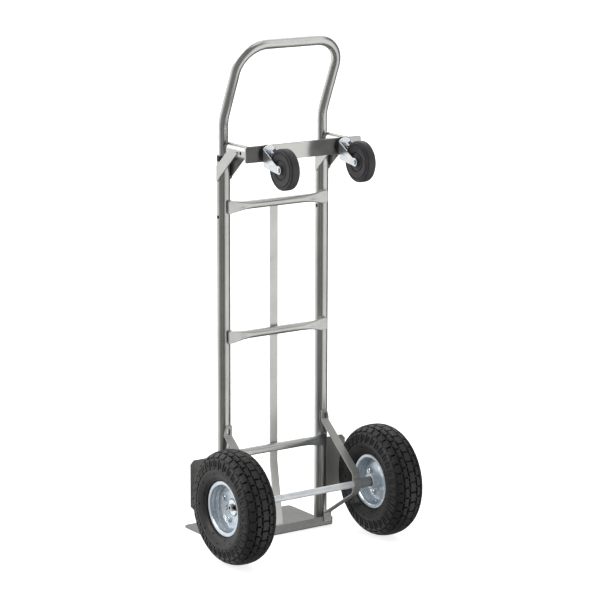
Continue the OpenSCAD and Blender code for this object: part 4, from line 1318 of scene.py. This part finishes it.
def build_world():
    """A soft studio of broad light patches; the camera itself sees plain white."""
    world = bpy.data.worlds.new("studio")
    scene.world = world
    world.use_nodes = True
    graph = Graph(world.node_tree)
    output = graph.add("OutputWorld")
    background = graph.add("Background")
    graph.feed(output.inputs[0], background.outputs[0])
    ray = graph.add("TexCoord").outputs["Generated"]

    def along(direction):
        return graph.add("VectorMath", ray, direction, operation="DOT_PRODUCT").outputs["Value"]

    def times(first, second):
        return graph.calc("MULTIPLY", first, second)

    def plus(first, second):
        return graph.calc("ADD", first, second)

    def rise(value, zero_at, one_at):
        return graph.add("MapRange", value, inputs={"From Min": zero_at, "From Max": one_at},
                         interpolation_type="SMOOTHSTEP").outputs["Result"]

    def window(value, start, full_start, full_end, end):
        """1 between full_start and full_end, fading to 0 at start and end."""
        return times(rise(value, start, full_start), rise(value, end, full_end))

    def spot(direction, inner, outer, strength):
        """A round patch, full within inner degrees and gone at outer."""
        mask = rise(along(direction), math.cos(math.radians(outer)),
                    math.cos(math.radians(inner)))
        return times(mask, strength)

    azimuth = times(graph.calc("ARCTAN2", along(toward(90, 0)), along(toward(0, 0))),
                    180 / math.pi)
    elevation = times(graph.calc("ARCSINE", along(Vector((0, 0, 1)))), 180 / math.pi)

    def patch(azimuths, heights, strength):
        return times(times(window(azimuth, *azimuths), heights), strength)

    left = plus(
        patch((-166, -154, -98, -84), window(elevation, -70, -50, 38, 56), 1.15),
        patch((-96, -90, -62, -50), window(elevation, -70, -50, 38, 56), 0.30))
    right_heights = plus(window(elevation, -62, -46, 8, 26),
                         times(window(elevation, 8, 26, 60, 70), 0.22))
    right = patch((18, 36, 94, 112), right_heights, 1.08)
    streak = patch((-34, -26, -16, -8), window(elevation, -60, -40, 30, 50), 0.22)
    upper = patch((55, 68, 130, 150), window(elevation, 32, 40, 58, 68), 0.85)
    behind = spot(toward(178, 40), inner=12, outer=30, strength=1.6)
    overhead = spot(toward(0, 88), inner=10, outer=26, strength=1.2)
    total = plus(plus(plus(plus(left, upper), right), streak),
                 plus(plus(behind, overhead), AMBIENT))
    camera_ray = graph.add("LightPath").outputs["Is Camera Ray"]
    seen = graph.add("Mix", inputs={0: camera_ray, 2: total, 3: 1.0}, data_type="FLOAT")
    graph.feed(background.inputs["Strength"], seen.outputs[0])
    graph.feed(background.inputs["Color"], (1.0, 1.0, 0.995, 1))


build_world()


# ---------------------------------------------------------------- lamps, in metres and watts
def area_lamp(name, place, target, width, height, watts, only_on=()):
    """A rectangular lamp; only_on limits it to meshes whose names start so."""
    light = bpy.data.lights.new(name, "AREA")
    light.shape = "RECTANGLE"
    light.size, light.size_y = width, height
    light.energy = watts
    lamp = bpy.data.objects.new(name, light)
    lamp.location = place
    aim = Vector(target) - Vector(place)
    lamp.rotation_euler = aim.to_track_quat("-Z", "Y").to_euler()
    scene.collection.objects.link(lamp)
    if only_on:
        group = bpy.data.collections.new(name + "_lights")
        for item in bpy.data.objects:
            if item.type == "MESH" and item.name.startswith(only_on):
                group.objects.link(item)
        lamp.light_linking.receiver_collection = group
        lamp.visible_camera = False


WHEEL_PREFIXES = tuple(f"{hand}_{part}" for _, hand in SIDES
                       for part in ("outer_rim", "inner_rim", "hub", "rim", "tyre"))
area_lamp("key_panel", toward(-120, 40) * 4.0 + Vector((0, 0, 0.5)), target=(0, 0, 0.5),
          width=2.4, height=2.4, watts=30)
area_lamp("strip_panel", (0.533, -0.93, 0.70), target=(0.533, 0.0, 0.70),
          width=0.18, height=0.7, watts=0.17, only_on=("caster_beam",))
area_lamp("handle_panel", toward(76, 30) * 2.5 + Vector((0, 0, 1.0)), target=(0, -0.03, 1.1),
          width=1.3, height=0.8, watts=2.6, only_on=("handle_tube",))
area_lamp("wheel_panel", toward(-62, 30) * 3.2, target=(0, WHEEL[1] * MM, WHEEL[2] * MM),
          width=0.9, height=0.9, watts=42, only_on=WHEEL_PREFIXES)

# ---------------------------------------------------------------- camera
camera_data = bpy.data.cameras.new("camera")
camera_data.sensor_width = 36.0
camera_data.lens = 161.5
camera_data.clip_start, camera_data.clip_end = 0.1, 200.0
camera = bpy.data.objects.new("camera", camera_data)
scene.collection.objects.link(camera)
aim = (-toward(0, CAMERA_ELEVATION)).to_track_quat("-Z", "Y")
roll = Matrix.Rotation(math.radians(CAMERA_ROLL), 4, "Z").to_quaternion()
camera.rotation_mode = "QUATERNION"
camera.rotation_quaternion = aim @ roll
camera.location = (-3.34745, -4.98626, 1.85222)
scene.camera = camera

scene.view_settings.view_transform = "Standard"
scene.view_settings.look = "None"
scene.view_settings.exposure = 0.0
